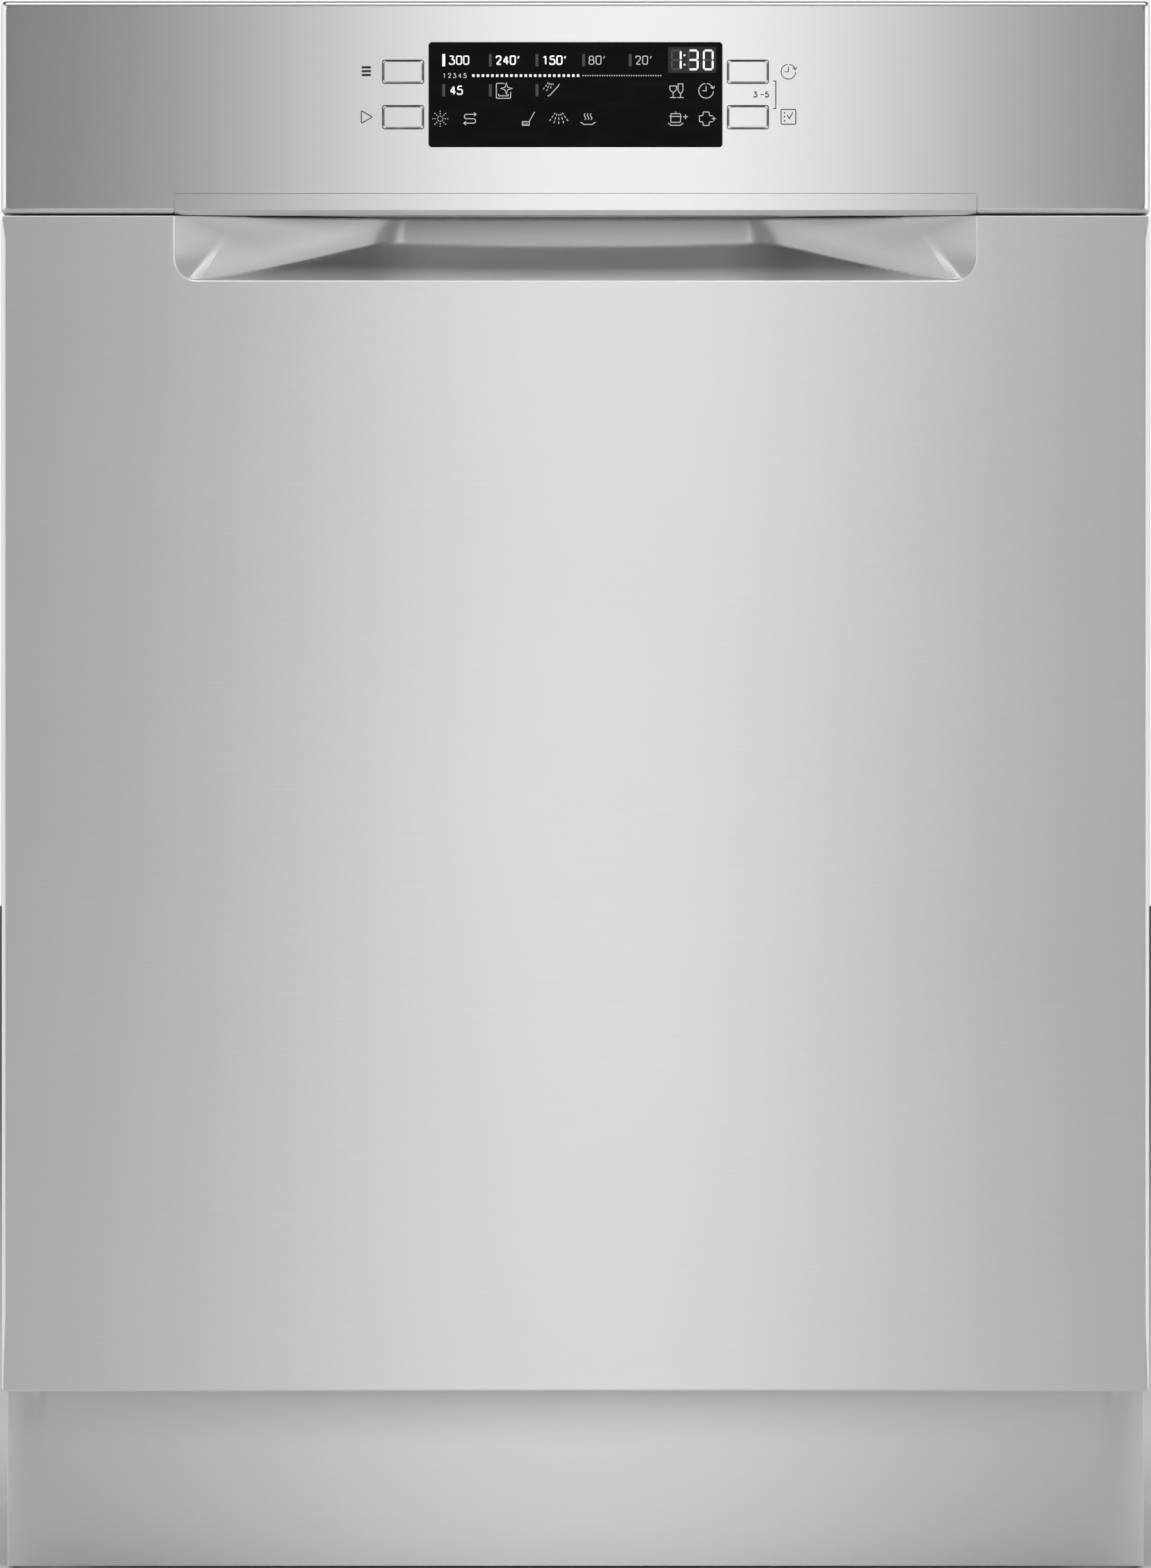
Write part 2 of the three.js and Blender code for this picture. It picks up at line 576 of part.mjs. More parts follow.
// Sump: an open well hung under the tub floor, with the post that the lower arm turns on.
function makeSump() {
  const well = prism("z", roundRect(SUMP_X, sumpY, 34), SUMP_Z);
  const rim = prism("z", roundRect(inset(SUMP_X, -SUMP_RIM), inset(sumpY, -SUMP_RIM), 40), [
    SUMP_Z[1] - 4,
    SUMP_Z[1],
  ]);
  const hollow = prism("z", roundRect(inset(SUMP_X, 8), inset(sumpY, 8), 30), [
    SUMP_Z[0] + MOULDING,
    SUMP_Z[1] + 1,
  ]);
  const post = turned(
    [
      [0, SUMP_Z[0] + 1],
      [16, SUMP_Z[0] + 1],
      [14, TUB_FLOOR_Z - 8],
      [11, POST_TOP_Z - SEAT],
      [ARM_PIN_RADIUS, POST_TOP_Z - SEAT],
      [ARM_PIN_RADIUS, POST_TOP_Z + ARM_THICKNESS + 0.6],
      [0, POST_TOP_Z + ARM_THICKNESS + 0.6],
    ],
    [0, ARM_AXIS_Y],
    16,
  );
  return union(cut(union(well, rim), hollow), post);
}
add("sump", makeSump(), MATERIALS.darkPlastic);

function makeFlatFilter() {
  const plate = prism("z", roundRect(inset(SUMP_X, -6), inset(sumpY, -6), 40), FILTER_PLATE_Z);
  const collar = rod("z", [0, ARM_AXIS_Y], 20, [FILTER_PLATE_Z[0], FILTER_PLATE_Z[1] + 4]);
  const postHole = rod("z", [0, ARM_AXIS_Y], 15, [TUB_FLOOR_Z, TUB_FLOOR_Z + 20]);
  const coarseHole = rod("z", [FILTER_X, ARM_AXIS_Y], FILTER_RADIUS + SEAT, [TUB_FLOOR_Z, TUB_FLOOR_Z + 20], 18);
  return cut(union(plate, collar), postHole, coarseHole);
}
add("flat_filter", makeFlatFilter(), MATERIALS.tubSteel);

// The coarse filter: an open cup with a flange that rests on the flat filter and a grip across it.
function makeCoarseFilter() {
  const top = FILTER_PLATE_Z[1];
  const radius = FILTER_RADIUS;
  const cup = turned(
    [
      [0, COARSE_BOTTOM_Z],
      [radius - 6, COARSE_BOTTOM_Z],
      [radius - 0.5, top + SEAT],
      [radius + 5, top + SEAT],
      [radius + 5, top + 3],
      [radius - 3, top + 3],
      [radius - 8, COARSE_BOTTOM_Z + 3],
      [0, COARSE_BOTTOM_Z + 3],
    ],
    [FILTER_X, ARM_AXIS_Y],
    18,
  );
  const grip = block(about(FILTER_X, 2 * radius - 7), about(ARM_AXIS_Y, 7), [top - 20, top + 7]);
  return union(cup, grip);
}
add("coarse_filter", makeCoarseFilter(), MATERIALS.darkPlastic);

const PUMP_AXIS_Z = 88;
const PUMP_RADIUS = 42;
const PUMP_SPAN = [SUMP_X[0] - 150, SUMP_X[0] - 40];
const DRAIN_PUMP_SPAN = [-(SUMP_X[1] + 84), -(SUMP_X[1] + 24)]; // drawn on the left, then mirrored
const FLOOR_Z = BASE_LIFT + MOULDING + SEAT;
function makePump([x0, x1], neckX, radius, axisY) {
  const centre = [axisY, PUMP_AXIS_Z];
  const body = rod("x", centre, radius, [x0, x1], 16);
  const cap = rod("x", centre, radius * 0.7, [x0 - 12, x1], 12);
  const neck = rod("x", centre, radius * 0.42, [x0, neckX]);
  const feet = [x0 + 14, x1 - 14].map((x) =>
    block(about(x, 10), about(axisY, radius * 1.2), [FLOOR_Z, PUMP_AXIS_Z]),
  );
  return union(body, cap, neck, feet);
}
add("circulation_pump", makePump(PUMP_SPAN, SUMP_X[0] - SEAT, PUMP_RADIUS, ARM_AXIS_Y), MATERIALS.darkPlastic);
const drainNeck = -(SUMP_X[1] + SEAT);
add(
  "drain_pump",
  mirrored(makePump(DRAIN_PUMP_SPAN, drainNeck, PUMP_RADIUS * 0.62, ARM_AXIS_Y)),
  MATERIALS.greyPlastic,
);

function makeSoftener() {
  const tank = prism("z", roundRect([SALT_X - 34, SALT_X + 70], [SALT_Y - 74, SALT_Y + 64], 12), [
    FLOOR_Z,
    BASE_TOP_Z - 10,
  ]);
  const neck = rod("z", [SALT_X, SALT_Y], SALT_NECK_RADIUS, [BASE_TOP_Z - 12, TUB_FLOOR_Z + 3]);
  return union(tank, neck);
}
add("softener", makeSoftener(), MATERIALS.whitePlastic);

function makeSaltCap() {
  const z = TUB_FLOOR_Z + 3 + SEAT;
  const dome = turned(
    [
      [0, z],
      [SALT_NECK_RADIUS + 3, z],
      [SALT_NECK_RADIUS + 3, z + 4],
      [SALT_NECK_RADIUS - 4, z + 7],
      [0, z + 7],
    ],
    [SALT_X, SALT_Y],
  );
  return union(dome, block(about(SALT_X, 38), about(SALT_Y, 6), [z + 2, z + 13]));
}
add("salt_cap", makeSaltCap(), MATERIALS.greyPlastic);

const VALVE_WIDTH = 44;
function makeWaterValve() {
  const at = [INLET_X, INLET_Z];
  const nozzle = rod("y", at, INLET_RADIUS, [BASE_BACK_Y - 20, BACK_Y - 0.5]);
  const bore = rod("y", at, INLET_RADIUS - 3, [BASE_BACK_Y - 12, BACK_Y + 1], 12);
  const body = block(about(INLET_X, VALVE_WIDTH), [BASE_BACK_Y - 56, BASE_BACK_Y - 8], about(INLET_Z, 34));
  const coils = [-1, 1].map((side) => (side * VALVE_WIDTH) / 4).map((x) =>
    rod("z", [INLET_X + x, BASE_BACK_Y - 36], 9, [INLET_Z, INLET_Z + 40], 12),
  );
  const stand = block(about(INLET_X, 30), [BASE_BACK_Y - 50, BASE_BACK_Y - 30], [FLOOR_Z, INLET_Z]);
  return cut(union(nozzle, body, coils, stand), bore);
}
add("water_valve", makeWaterValve(), MATERIALS.whitePlastic);

// ---------------------------------------------------------------- spray arms

const BLADE_SIDES = 8;
const BLADE_SECTIONS = 4;
const BLADE_SWEEP = 12; // how far a blade bows to one side

// One blade of a spray arm, lofted through sections that narrow, thin and sweep towards the tip.
function blade(length, rootWidth, z) {
  const sections = spread(BLADE_SECTIONS, 0, 1).map((t) => {
    const halfWidth = (rootWidth / 2) * (1 - 0.45 * t) * (t > 0.99 ? 0.55 : 1);
    const halfHeight = (ARM_THICKNESS / 2) * (1 - 0.35 * t);
    const sweep = BLADE_SWEEP * Math.sin(Math.PI * t);
    return spread(BLADE_SIDES + 1, 0, 2 * Math.PI)
      .slice(0, -1)
      .map((a) => {
        const squareness = 1 / Math.max(Math.abs(Math.cos(a)), Math.abs(Math.sin(a))) ** 0.6;
        const across = halfWidth * Math.cos(a) * squareness;
        return new THREE.Vector3(length * t, sweep + across, z + halfHeight * Math.sin(a) * squareness);
      });
  });
  return loft(sections);
}

// A whole arm about the shared upright axis, with blades at equal angles and jets on its upper side.
function sprayArm(blades, length, rootWidth, z, jetCount) {
  const jets = spread(jetCount, 0.36, 0.88).map((t) =>
    rod("z", [length * t, BLADE_SWEEP * Math.sin(Math.PI * t)], 4, [z, z + ARM_THICKNESS * 0.6], 6),
  );
  const one = union(blade(length, rootWidth, z), jets);
  const turns = Array.from({ length: blades }, (_, i) => one.rotate([0, 0, (360 * i) / blades]));
  const hub = rod("z", [0, 0], 19, about(z, ARM_THICKNESS - ARM_GAP));
  const hole = rod("z", [0, 0], ARM_PIN_RADIUS + SEAT, about(z, 3 * ARM_THICKNESS));
  return cut(union(turns, hub), hole).translate([0, ARM_AXIS_Y, 0]);
}

const LOWER_ARM_Z = POST_TOP_Z + ARM_THICKNESS / 2;
const LOWER_ARM_REACH = LOWER_RACK_HALF_WIDTH - 24;
const UPPER_ARM_REACH = UPPER_RACK_HALF_WIDTH - 43;
add("lower_spray_arm", sprayArm(2, LOWER_ARM_REACH, 44, LOWER_ARM_Z, 2), MATERIALS.greyPlastic);

// A pin pointing down from a feed, with a head under the arm that keeps it on.
function hangingPin(fromZ, armZ) {
  const head = armZ - ARM_THICKNESS / 2;
  return turned(
    [
      [0, head - 5],
      [11, head - 5],
      [11, head - SEAT],
      [ARM_PIN_RADIUS, head - SEAT],
      [ARM_PIN_RADIUS, fromZ],
      [0, fromZ],
    ],
    [0, ARM_AXIS_Y],
    16,
  );
}

// The feed tube climbs the tub's back wall from the sump and runs forward under the ceiling.
const FEED_WALL_Y = TUB_BACK_Y - SHEET - SEAT - FEED_THICKNESS / 2;
const FEED_FLOOR_Z = TUB_FLOOR_Z + SEAT + FEED_THICKNESS / 2;
const FEED_CEILING_Z = TUB_CEILING_Z - SHEET - 14;
const CEILING_ARM_Z = FEED_CEILING_Z - 16;
const DOCK_REACH = 6;
const UPPER_ARM_Z = UPPER_RACK_FLOOR_Z - 30;
const FEED_BLOCK = 12; // height of the feed across the upper rack
const UPPER_FEED_Z = UPPER_ARM_Z + ARM_THICKNESS / 2 + FEED_BLOCK / 2 + 2;
function makeFeedTube() {
  const route = [
    [sumpY[1] + 8, FEED_FLOOR_Z],
    [FEED_WALL_Y, FEED_FLOOR_Z],
    [FEED_WALL_Y, FEED_CEILING_Z],
    [ARM_AXIS_Y - 16, FEED_CEILING_Z],
  ];
  const duct = prism("x", strip(bent(route, 26, 4), FEED_THICKNESS), wide(FEED_WIDTH / 2));
  const docks = [0, RACK_LIFT].map((lift) =>
    rod("y", [0, UPPER_FEED_Z + lift], 11, [FEED_WALL_Y - FEED_THICKNESS / 2 - DOCK_REACH, FEED_WALL_Y]),
  );
  const clip = block(wide(9), about(ARM_AXIS_Y, 18), [FEED_CEILING_Z, TUB_CEILING_Z - SHEET - SEAT]);
  return union(duct, docks, clip, hangingPin(FEED_CEILING_Z, CEILING_ARM_Z));
}
add("feed_tube", makeFeedTube(), MATERIALS.greyPlastic);
add("ceiling_spray_arm", sprayArm(2, 74, 24, CEILING_ARM_Z, 1), MATERIALS.greyPlastic);
add("upper_spray_arm", sprayArm(2, UPPER_ARM_REACH, 36, UPPER_ARM_Z, 2), MATERIALS.greyPlastic);

// ---------------------------------------------------------------- racks

const RIM_WIRE = 4.8;
const rackSpanY = inset([RACK_FRONT_Y, RACK_BACK_Y], RIM_WIRE / 2);
const RACK_BEND = 14;
const ACROSS_HOOPS = 6;
const ALONG_HOOPS = 4;

// A bent wire that runs down one wall of a rack, across its floor and up the other wall.
function hoop(axis, [from, to], floorZ, rimZ, at) {
  const route = bent([[from, rimZ], [from, floorZ], [to, floorZ], [to, rimZ]], RACK_BEND, 1);
  return prism(axis, strip(route, WIRE), about(at, WIRE));
}

// A closed wire round the rack at one height.
const rimWire = (spanX, spanY, z) => {
  const corners = roundRect(spanX, spanY, RACK_BEND, 1).getPoints().map((p) => [p.x, p.y]);
  return prism("z", strip(corners, RIM_WIRE, true), about(z, WIRE));
};

// Where the hoops of a rack lie: those that run across it, and those that run from front to back.
const acrossPlaces = spread(ACROSS_HOOPS, rackSpanY[0] + 30, rackSpanY[1] - 30);
const alongPlaces = (halfWidth) => spread(ALONG_HOOPS, -(halfWidth - 50), halfWidth - 50);

// A wire basket: hoops both ways, with a rim and a middle wire that tie them together.
function wireRack(halfWidth, floorZ, wall) {
  const spanX = wide(halfWidth - RIM_WIRE / 2);
  const rimZ = floorZ + wall;
  const across = acrossPlaces.map((y) => hoop("y", spanX, floorZ, rimZ, y));
  const along = alongPlaces(halfWidth).map((x) =>
    hoop("x", rackSpanY, floorZ + WIRE * 0.6, rimZ, x),
  );
  const rims = [rimZ, floorZ + wall * 0.5].map((z) => rimWire(spanX, rackSpanY, z));
  return union(across, along, rims);
}

// A row of upright tines between two places along Y, standing on a hoop that runs from front to back.
function tineRow(x, [y0, y1], count, footZ, height) {
  return spread(count, y0, y1).map((y) =>
    block(about(x, WIRE * 0.9), about(y, WIRE * 0.9), [footZ, footZ + height]),
  );
}

// Lower rack
const AXLE_X = LOWER_RACK_HALF_WIDTH - 2;
const WHEEL_Z = TUB_FLOOR_Z + RAIL_HEIGHT + WHEEL_RADIUS + SEAT;
const WHEEL_Y = { front: acrossPlaces[1], rear: acrossPlaces.at(-2) };
const TINE_HEIGHT = 66;
const TINES_PER_ROW = 8;
const fixedTineX = alongPlaces(LOWER_RACK_HALF_WIDTH).slice(0, 2);
const FOLD_AXLE_X = 0;
const FOLD_AXLE_RADIUS = 3;
const tineSpanY = inset([acrossPlaces[0], acrossPlaces.at(-1)], 16);
const lowerFloorTop = LOWER_RACK_FLOOR_Z + WIRE * 1.1;
const FOLD_AXLE_Z = lowerFloorTop + FOLD_AXLE_RADIUS + 1.5;
const FOLD_TINES = 11;

function makeLowerRack() {
  const basket = wireRack(LOWER_RACK_HALF_WIDTH, LOWER_RACK_FLOOR_Z, LOWER_RACK_WALL);
  const hangers = Object.values(WHEEL_Y).map((y) => {
    const plate = prism(
      "x",
      polygon([
        [y - 16, LOWER_RACK_FLOOR_Z + 22],
        [y - 9, WHEEL_Z - 7],
        [y + 9, WHEEL_Z - 7],
        [y + 16, LOWER_RACK_FLOOR_Z + 22],
      ]),
      [AXLE_X - 1, AXLE_X + 4],
    );
    const axle = rod("x", [y, WHEEL_Z], AXLE_RADIUS, [AXLE_X, wheelX[1] + 1.2], 8);
    const head = rod("x", [y, WHEEL_Z], AXLE_RADIUS + 2.4, [wheelX[1] + SEAT, wheelX[1] + 2.3], 8);
    return both(union(plate, axle, head));
  });
  const tines = fixedTineX.map((x) => tineRow(x, tineSpanY, TINES_PER_ROW, LOWER_RACK_FLOOR_Z, TINE_HEIGHT));
  const saddles = [acrossPlaces[0], acrossPlaces.at(-1)].map((y) =>
    cut(
      block(about(FOLD_AXLE_X, 12), about(y, 5), [LOWER_RACK_FLOOR_Z - 1, FOLD_AXLE_Z + 4.5]),
      rod("y", [FOLD_AXLE_X, FOLD_AXLE_Z], FOLD_AXLE_RADIUS + SEAT, about(y, 20), 10),
    ),
  );
  return union(basket, hangers, tines, saddles);
}
add("lower_rack", makeLowerRack(), MATERIALS.coatedWire);

// The folding tines: one row on a round axle that turns in the rack's saddles.
function makeFoldingTines() {
  const z = FOLD_AXLE_Z;
  const axle = rod("y", [FOLD_AXLE_X, z], FOLD_AXLE_RADIUS, [acrossPlaces[0] - 6, acrossPlaces.at(-1) + 6], 8);
  return union(axle, tineRow(FOLD_AXLE_X, tineSpanY, FOLD_TINES, z, TINE_HEIGHT));
}
add("folding_tines", makeFoldingTines(), MATERIALS.coatedWire);

const wheelProfile = (radius, [near, far]) => [
  [AXLE_RADIUS + SEAT, near],
  [radius, near],
  [radius, far],
  [AXLE_RADIUS + SEAT, far],
  [AXLE_RADIUS + SEAT, near],
];

// A wheel on an axle along X at the place [y, z].
function wheel(radius, spanX, [y, z], segments) {
  const upright = turned(wheelProfile(radius, spanX), [0, 0], segments);
  return upright.rotate([0, 90, 0]).translate([0, y, z]);
}
for (const [end, y] of Object.entries(WHEEL_Y)) {
  addPair(`${end}_rack_wheel`, wheel(WHEEL_RADIUS, wheelX, [y, WHEEL_Z], 12), MATERIALS.greyPlastic);
}

// The cutlery basket: a tall open box with a grid of cells, slotted long walls and a bail over the middle.
const BASKET_WIDTH = 86;
const BASKET_LENGTH = 240;
const BASKET_SIDE_GAP = 20; // basket to the rack's side
const BASKET_FRONT_GAP = 25.6;
const BASKET_X = [-BASKET_WIDTH, 0].map((x) => LOWER_RACK_HALF_WIDTH - BASKET_SIDE_GAP + x);
const BASKET_Y = [0, BASKET_LENGTH].map((y) => rackSpanY[0] + BASKET_FRONT_GAP + y);
const BASKET_Z = [lowerFloorTop + SEAT, lowerFloorTop + 106];
const BASKET_WALL = 2.4;
const BASKET_CORNER = 3;
const BASKET_CELLS = { across: 2, along: 3 };
function makeCutleryBasket() {
  const shell = prism("z", roundRect(BASKET_X, BASKET_Y, BASKET_CORNER, 1), BASKET_Z);
  const cellX = spread(BASKET_CELLS.across + 1, BASKET_X[0] + BASKET_WALL / 2, BASKET_X[1] - BASKET_WALL / 2);
  const cellY = spread(BASKET_CELLS.along + 1, BASKET_Y[0] + BASKET_WALL / 2, BASKET_Y[1] - BASKET_WALL / 2);
  const cells = cellX.slice(1).flatMap((x1, i) =>
    cellY.slice(1).map((y1, j) =>
      block(
        inset([cellX[i], x1], BASKET_WALL / 2),
        inset([cellY[j], y1], BASKET_WALL / 2),
        [BASKET_Z[0] + BASKET_WALL, BASKET_Z[1] + 1],
      ),
    ),
  );
  const slots = cellY.slice(1).map((y1, j) =>
    block([BASKET_X[0] - 1, BASKET_X[1] + 1], about((cellY[j] + y1) / 2, 44), [
      BASKET_Z[0] + 14,
      BASKET_Z[1] - 18,
    ]),
  );
  const keep = block(inset(BASKET_X, BASKET_WALL), BASKET_Y, BASKET_Z);
  const midX = (BASKET_X[0] + BASKET_X[1]) / 2;
  const bailRoute = [
    [BASKET_Y[0] + 40, BASKET_Z[1] - 8],
    [BASKET_Y[0] + 60, BASKET_Z[1] + 34],
    [BASKET_Y[1] - 60, BASKET_Z[1] + 34],
    [BASKET_Y[1] - 40, BASKET_Z[1] - 8],
  ];
  const bail = prism("x", strip(bent(bailRoute, 14), 6), about(midX, 5));
  return union(cut(shell, cells, cut(union(slots), keep)), bail);
}
add("cutlery_basket", makeCutleryBasket(), MATERIALS.greyPlastic);

// Upper rack, its carriers, rollers and runners
const carrierX = [UPPER_RACK_HALF_WIDTH + SEAT, UPPER_RACK_HALF_WIDTH + SEAT + 4];
const runnerX = [TUB_INNER - SEAT - RUNNER_DEPTH - 4, TUB_INNER - SEAT];
const RUNNER_WALL = 2;
const ROLLER_Z = RUNNER_Z + RUNNER_WALL + ROLLER_RADIUS + SEAT;
const rollerX = [runnerX[0] + 2, runnerX[0] + 10];
const ROLLER_Y = { front: -90, rear: 130 };

function makeRunner() {
  const outline = [
    [runnerX[0], RUNNER_Z + RUNNER_WALL / 2],
    [runnerX[1] - RUNNER_WALL / 2, RUNNER_Z + RUNNER_WALL / 2],
    [runnerX[1] - RUNNER_WALL / 2, RUNNER_Z + RUNNER_HEIGHT - RUNNER_WALL / 2],
    [runnerX[0], RUNNER_Z + RUNNER_HEIGHT - RUNNER_WALL / 2],
  ];
  return prism("y", strip(outline, RUNNER_WALL), [TUB_FRONT_Y + 14, rackSpanY[1] - 10]);
}
addPair("runner", makeRunner(), MATERIALS.tubSteel);

function makeCarrier() {
  const plate = prism(
    "x",
    roundRect([ROLLER_Y.front - 24, ROLLER_Y.rear + 24], [ROLLER_Z - 22, ROLLER_Z + 22], 10),
    carrierX,
  );
  const windows = spread(2, ROLLER_Y.front + 60, ROLLER_Y.rear - 60).map((y) =>
    prism("x", roundRect(about(y, 72), about(ROLLER_Z, 22), 6, 1), inset(carrierX, -1)),
  );
  const axles = Object.values(ROLLER_Y).map((y) =>
    union(
      rod("x", [y, ROLLER_Z], AXLE_RADIUS, [carrierX[0] + 1, rollerX[1] + 1], 8),
      rod("x", [y, ROLLER_Z], AXLE_RADIUS + 2, [rollerX[1] + SEAT, rollerX[1] + 2], 8),
    ),
  );
  return union(cut(plate, windows), axles);
}
addPair("rack_carrier", makeCarrier(), MATERIALS.greyPlastic);
for (const [end, y] of Object.entries(ROLLER_Y)) {
  addPair(`${end}_roller`, wheel(ROLLER_RADIUS, rollerX, [y, ROLLER_Z], 10), MATERIALS.whitePlastic);
}

// Cup shelves fold up on a round rod along each side of the upper rack.
const SHELF_AXIS_X = UPPER_RACK_HALF_WIDTH - 18;
const SHELF_AXIS_Z = UPPER_RACK_FLOOR_Z + UPPER_RACK_WALL - 12;
const SHELF_REACH = 92;
const SHELF_ROD_RADIUS = 3;
const UPPER_TINE_HEIGHT = 52;
const UPPER_TINES_PER_ROW = 7;
const shelfSpanY = [-150, 170];
function makeUpperRack() {
  const basket = wireRack(UPPER_RACK_HALF_WIDTH, UPPER_RACK_FLOOR_Z, UPPER_RACK_WALL);
  const tines = alongPlaces(UPPER_RACK_HALF_WIDTH).slice(1, -1).map((x) =>
    tineRow(x, tineSpanY, UPPER_TINES_PER_ROW, UPPER_RACK_FLOOR_Z, UPPER_TINE_HEIGHT),
  );
  const eyes = [shelfSpanY[0] - 8, shelfSpanY[1] + 8].map((y) =>
    both(
      union(
        block([SHELF_AXIS_X - 4, UPPER_RACK_HALF_WIDTH - 1], about(y, 6), [
          SHELF_AXIS_Z - 5,
          UPPER_RACK_FLOOR_Z + UPPER_RACK_WALL,
        ]),
        rod("y", [SHELF_AXIS_X, SHELF_AXIS_Z], SHELF_ROD_RADIUS, y < 0 ? [y, y + 18] : [y - 18, y], 12),
      ),
    ),
  );
  const feedY = [ARM_AXIS_Y - 14, FEED_WALL_Y - FEED_THICKNESS / 2 - DOCK_REACH - SEAT];
  const feed = block(wide(11), feedY, about(UPPER_FEED_Z, FEED_BLOCK));
  const tieReach = alongPlaces(UPPER_RACK_HALF_WIDTH)[2] + WIRE;
  const ties = [ARM_AXIS_Y, feedY[1] - 14].map((y) =>
    union(
      block(wide(4), about(y, 8), [UPPER_FEED_Z, UPPER_RACK_FLOOR_Z]),
      block(wide(tieReach), about(y, 8), [UPPER_RACK_FLOOR_Z - 4, UPPER_RACK_FLOOR_Z + WIRE * 0.4]),
    ),
  );
  return union(basket, tines, eyes, feed, ties, hangingPin(UPPER_FEED_Z, UPPER_ARM_Z));
}
add("upper_rack", makeUpperRack(), MATERIALS.coatedWire);

function makeCupShelf() {
  const reach = [SHELF_AXIS_X - SHELF_REACH, SHELF_AXIS_X];
  const sleeve = rod("y", [SHELF_AXIS_X, SHELF_AXIS_Z], 6, inset(shelfSpanY, 3));
  const bore = rod("y", [SHELF_AXIS_X, SHELF_AXIS_Z], SHELF_ROD_RADIUS + SEAT, inset(shelfSpanY, -5), 12);
  const outline = roundRect(reach, inset(shelfSpanY, 3), [10, 0, 0, 10]);
  const plate = prism("z", outline, about(SHELF_AXIS_Z, 4));
  const windows = spread(2, shelfSpanY[0] + 84, shelfSpanY[1] - 84).flatMap((y) =>
    [26, 58].map((back) =>
      prism("z", roundRect(about(reach[0] + back, 24), about(y, 130), 6, 1), about(SHELF_AXIS_Z, 20)),
    ),
  );
  const lip = block([reach[0] + 2, reach[0] + 5], inset(shelfSpanY, 14), [SHELF_AXIS_Z, SHELF_AXIS_Z + 10]);
  return cut(union(sleeve, cut(plate, windows), lip), bore);
}
addPair("cup_shelf", makeCupShelf(), MATERIALS.greyPlastic);

// ---------------------------------------------------------------- door

const doorSpanX = wide(HALF_WIDTH);
const panelSpanZ = [DOOR_BOTTOM_Z, SEAM_Z - SEAM_GAP / 2];
const fasciaSpanZ = [SEAM_Z + SEAM_GAP / 2, HEIGHT];
const FLANGE_BACK_Y = FRONT_Y + FLANGE_DEPTH;
const GRIP_PLATE = 2.4;
const GRIP_DEPTH = 10;
const POCKET_BACK_Y = FRONT_Y + POCKET_DEPTH;
const turnedIn = [LINER_Y - LINER_TURN - SEAT, 0]; // where the liner's turned edges lie inside the panels'
const pocketHalfAt = (t) => POCKET_WIDTH / 2 - POCKET_WING * t;

// The pocket's form, grown by a wall: its floor climbs in a scoop and its ends slope in to the back wall.
function pocketForm(grow, frontY, topZ) {
  return loft(
    [0, 0.3, 0.6, 0.85, 1].map((t) => {
      const y = t === 0 ? frontY : FRONT_Y + (POCKET_DEPTH + grow) * t;
      const floorZ = POCKET_FLOOR_Z + POCKET_FLOOR_RISE * t ** 1.6 - grow;
      const corner = POCKET_CORNER * (1 - 0.6 * t);
      return ringAtY(y, wide(pocketHalfAt(t) + grow), [floorZ, topZ], [corner, corner, 0, 0], 3);
    }),
  );
}

function makeDoorPanel() {
  const pan = openPan(FRONT_Y, FLANGE_BACK_Y, doorSpanX, panelSpanZ, SHEET, DOOR_EDGE_RADIUS, 2);
  const skin = pocketForm(SHEET, FRONT_Y + SHEET / 2, panelSpanZ[1]);
  const hollow = pocketForm(0, FRONT_Y - 1, SEAM_Z + 1);
  const linerNotch = block([LINER_HALF_WIDTH - 2 * SHEET, HALF_WIDTH - SHEET], turnedIn, [
    SEAM_Z - 9,
    SEAM_Z,
  ]);
  return cut(union(pan, skin), hollow, both(linerNotch));
}
add("door_panel", makeDoorPanel(), MATERIALS.brushedSteel);

// Room for the fingers behind the grip, with the same sloping ends as the pocket below it.
function fingerRoom(grow, [z0, z1]) {
  const backY = POCKET_BACK_Y + grow;
  const frontY = FRONT_Y + GRIP_DEPTH - grow;
  const halfAt = (y) => pocketHalfAt((y - grow - FRONT_Y) / POCKET_DEPTH) + grow;
  const outline = [
    [-halfAt(frontY + 2 * grow), frontY],
    [halfAt(frontY + 2 * grow), frontY],
    [halfAt(backY), backY],
    [-halfAt(backY), backY],
  ];
  return prism("z", polygon(outline), [z0, z1]);
}

const buttonPlaces = {
  program_button: [-BUTTON_X, BUTTON_Z[0]],
  start_button: [-BUTTON_X, BUTTON_Z[1]],
  delay_button: [BUTTON_X, BUTTON_Z[0]],
  option_button: [BUTTON_X, BUTTON_Z[1]],
};
const FACE_INSET = 0.1; // buttons and glass lie this far behind the face
const buttonForm = ([x, z], grow, spanY) => {
  const spanX = about(x, BUTTON_WIDTH + 2 * grow);
  return prism("y", roundRect(spanX, about(z, BUTTON_HEIGHT + 2 * grow), 2.4, 1), spanY);
};
const displayForm = (grow, spanY) => {
  const spanZ = about(DISPLAY_Z, DISPLAY_HEIGHT + 2 * grow);
  return prism("y", roundRect(wide(DISPLAY_WIDTH / 2 + grow), spanZ, 1.2, 1), spanY);
};

const gripHalfWidth = POCKET_WIDTH / 2 + 0.2;
const GRIP_TOP_Z = SEAM_Z + GRIP_FACE_HEIGHT;
const LATCH_X = 36;
const LATCH_Z = [TONGUE_Z[0] - 9, HEIGHT - MOULDING - SEAT];
const LATCH_SLOT_Z = [TONGUE_Z[0] - 2.6, TONGUE_Z[1] + 3.4];

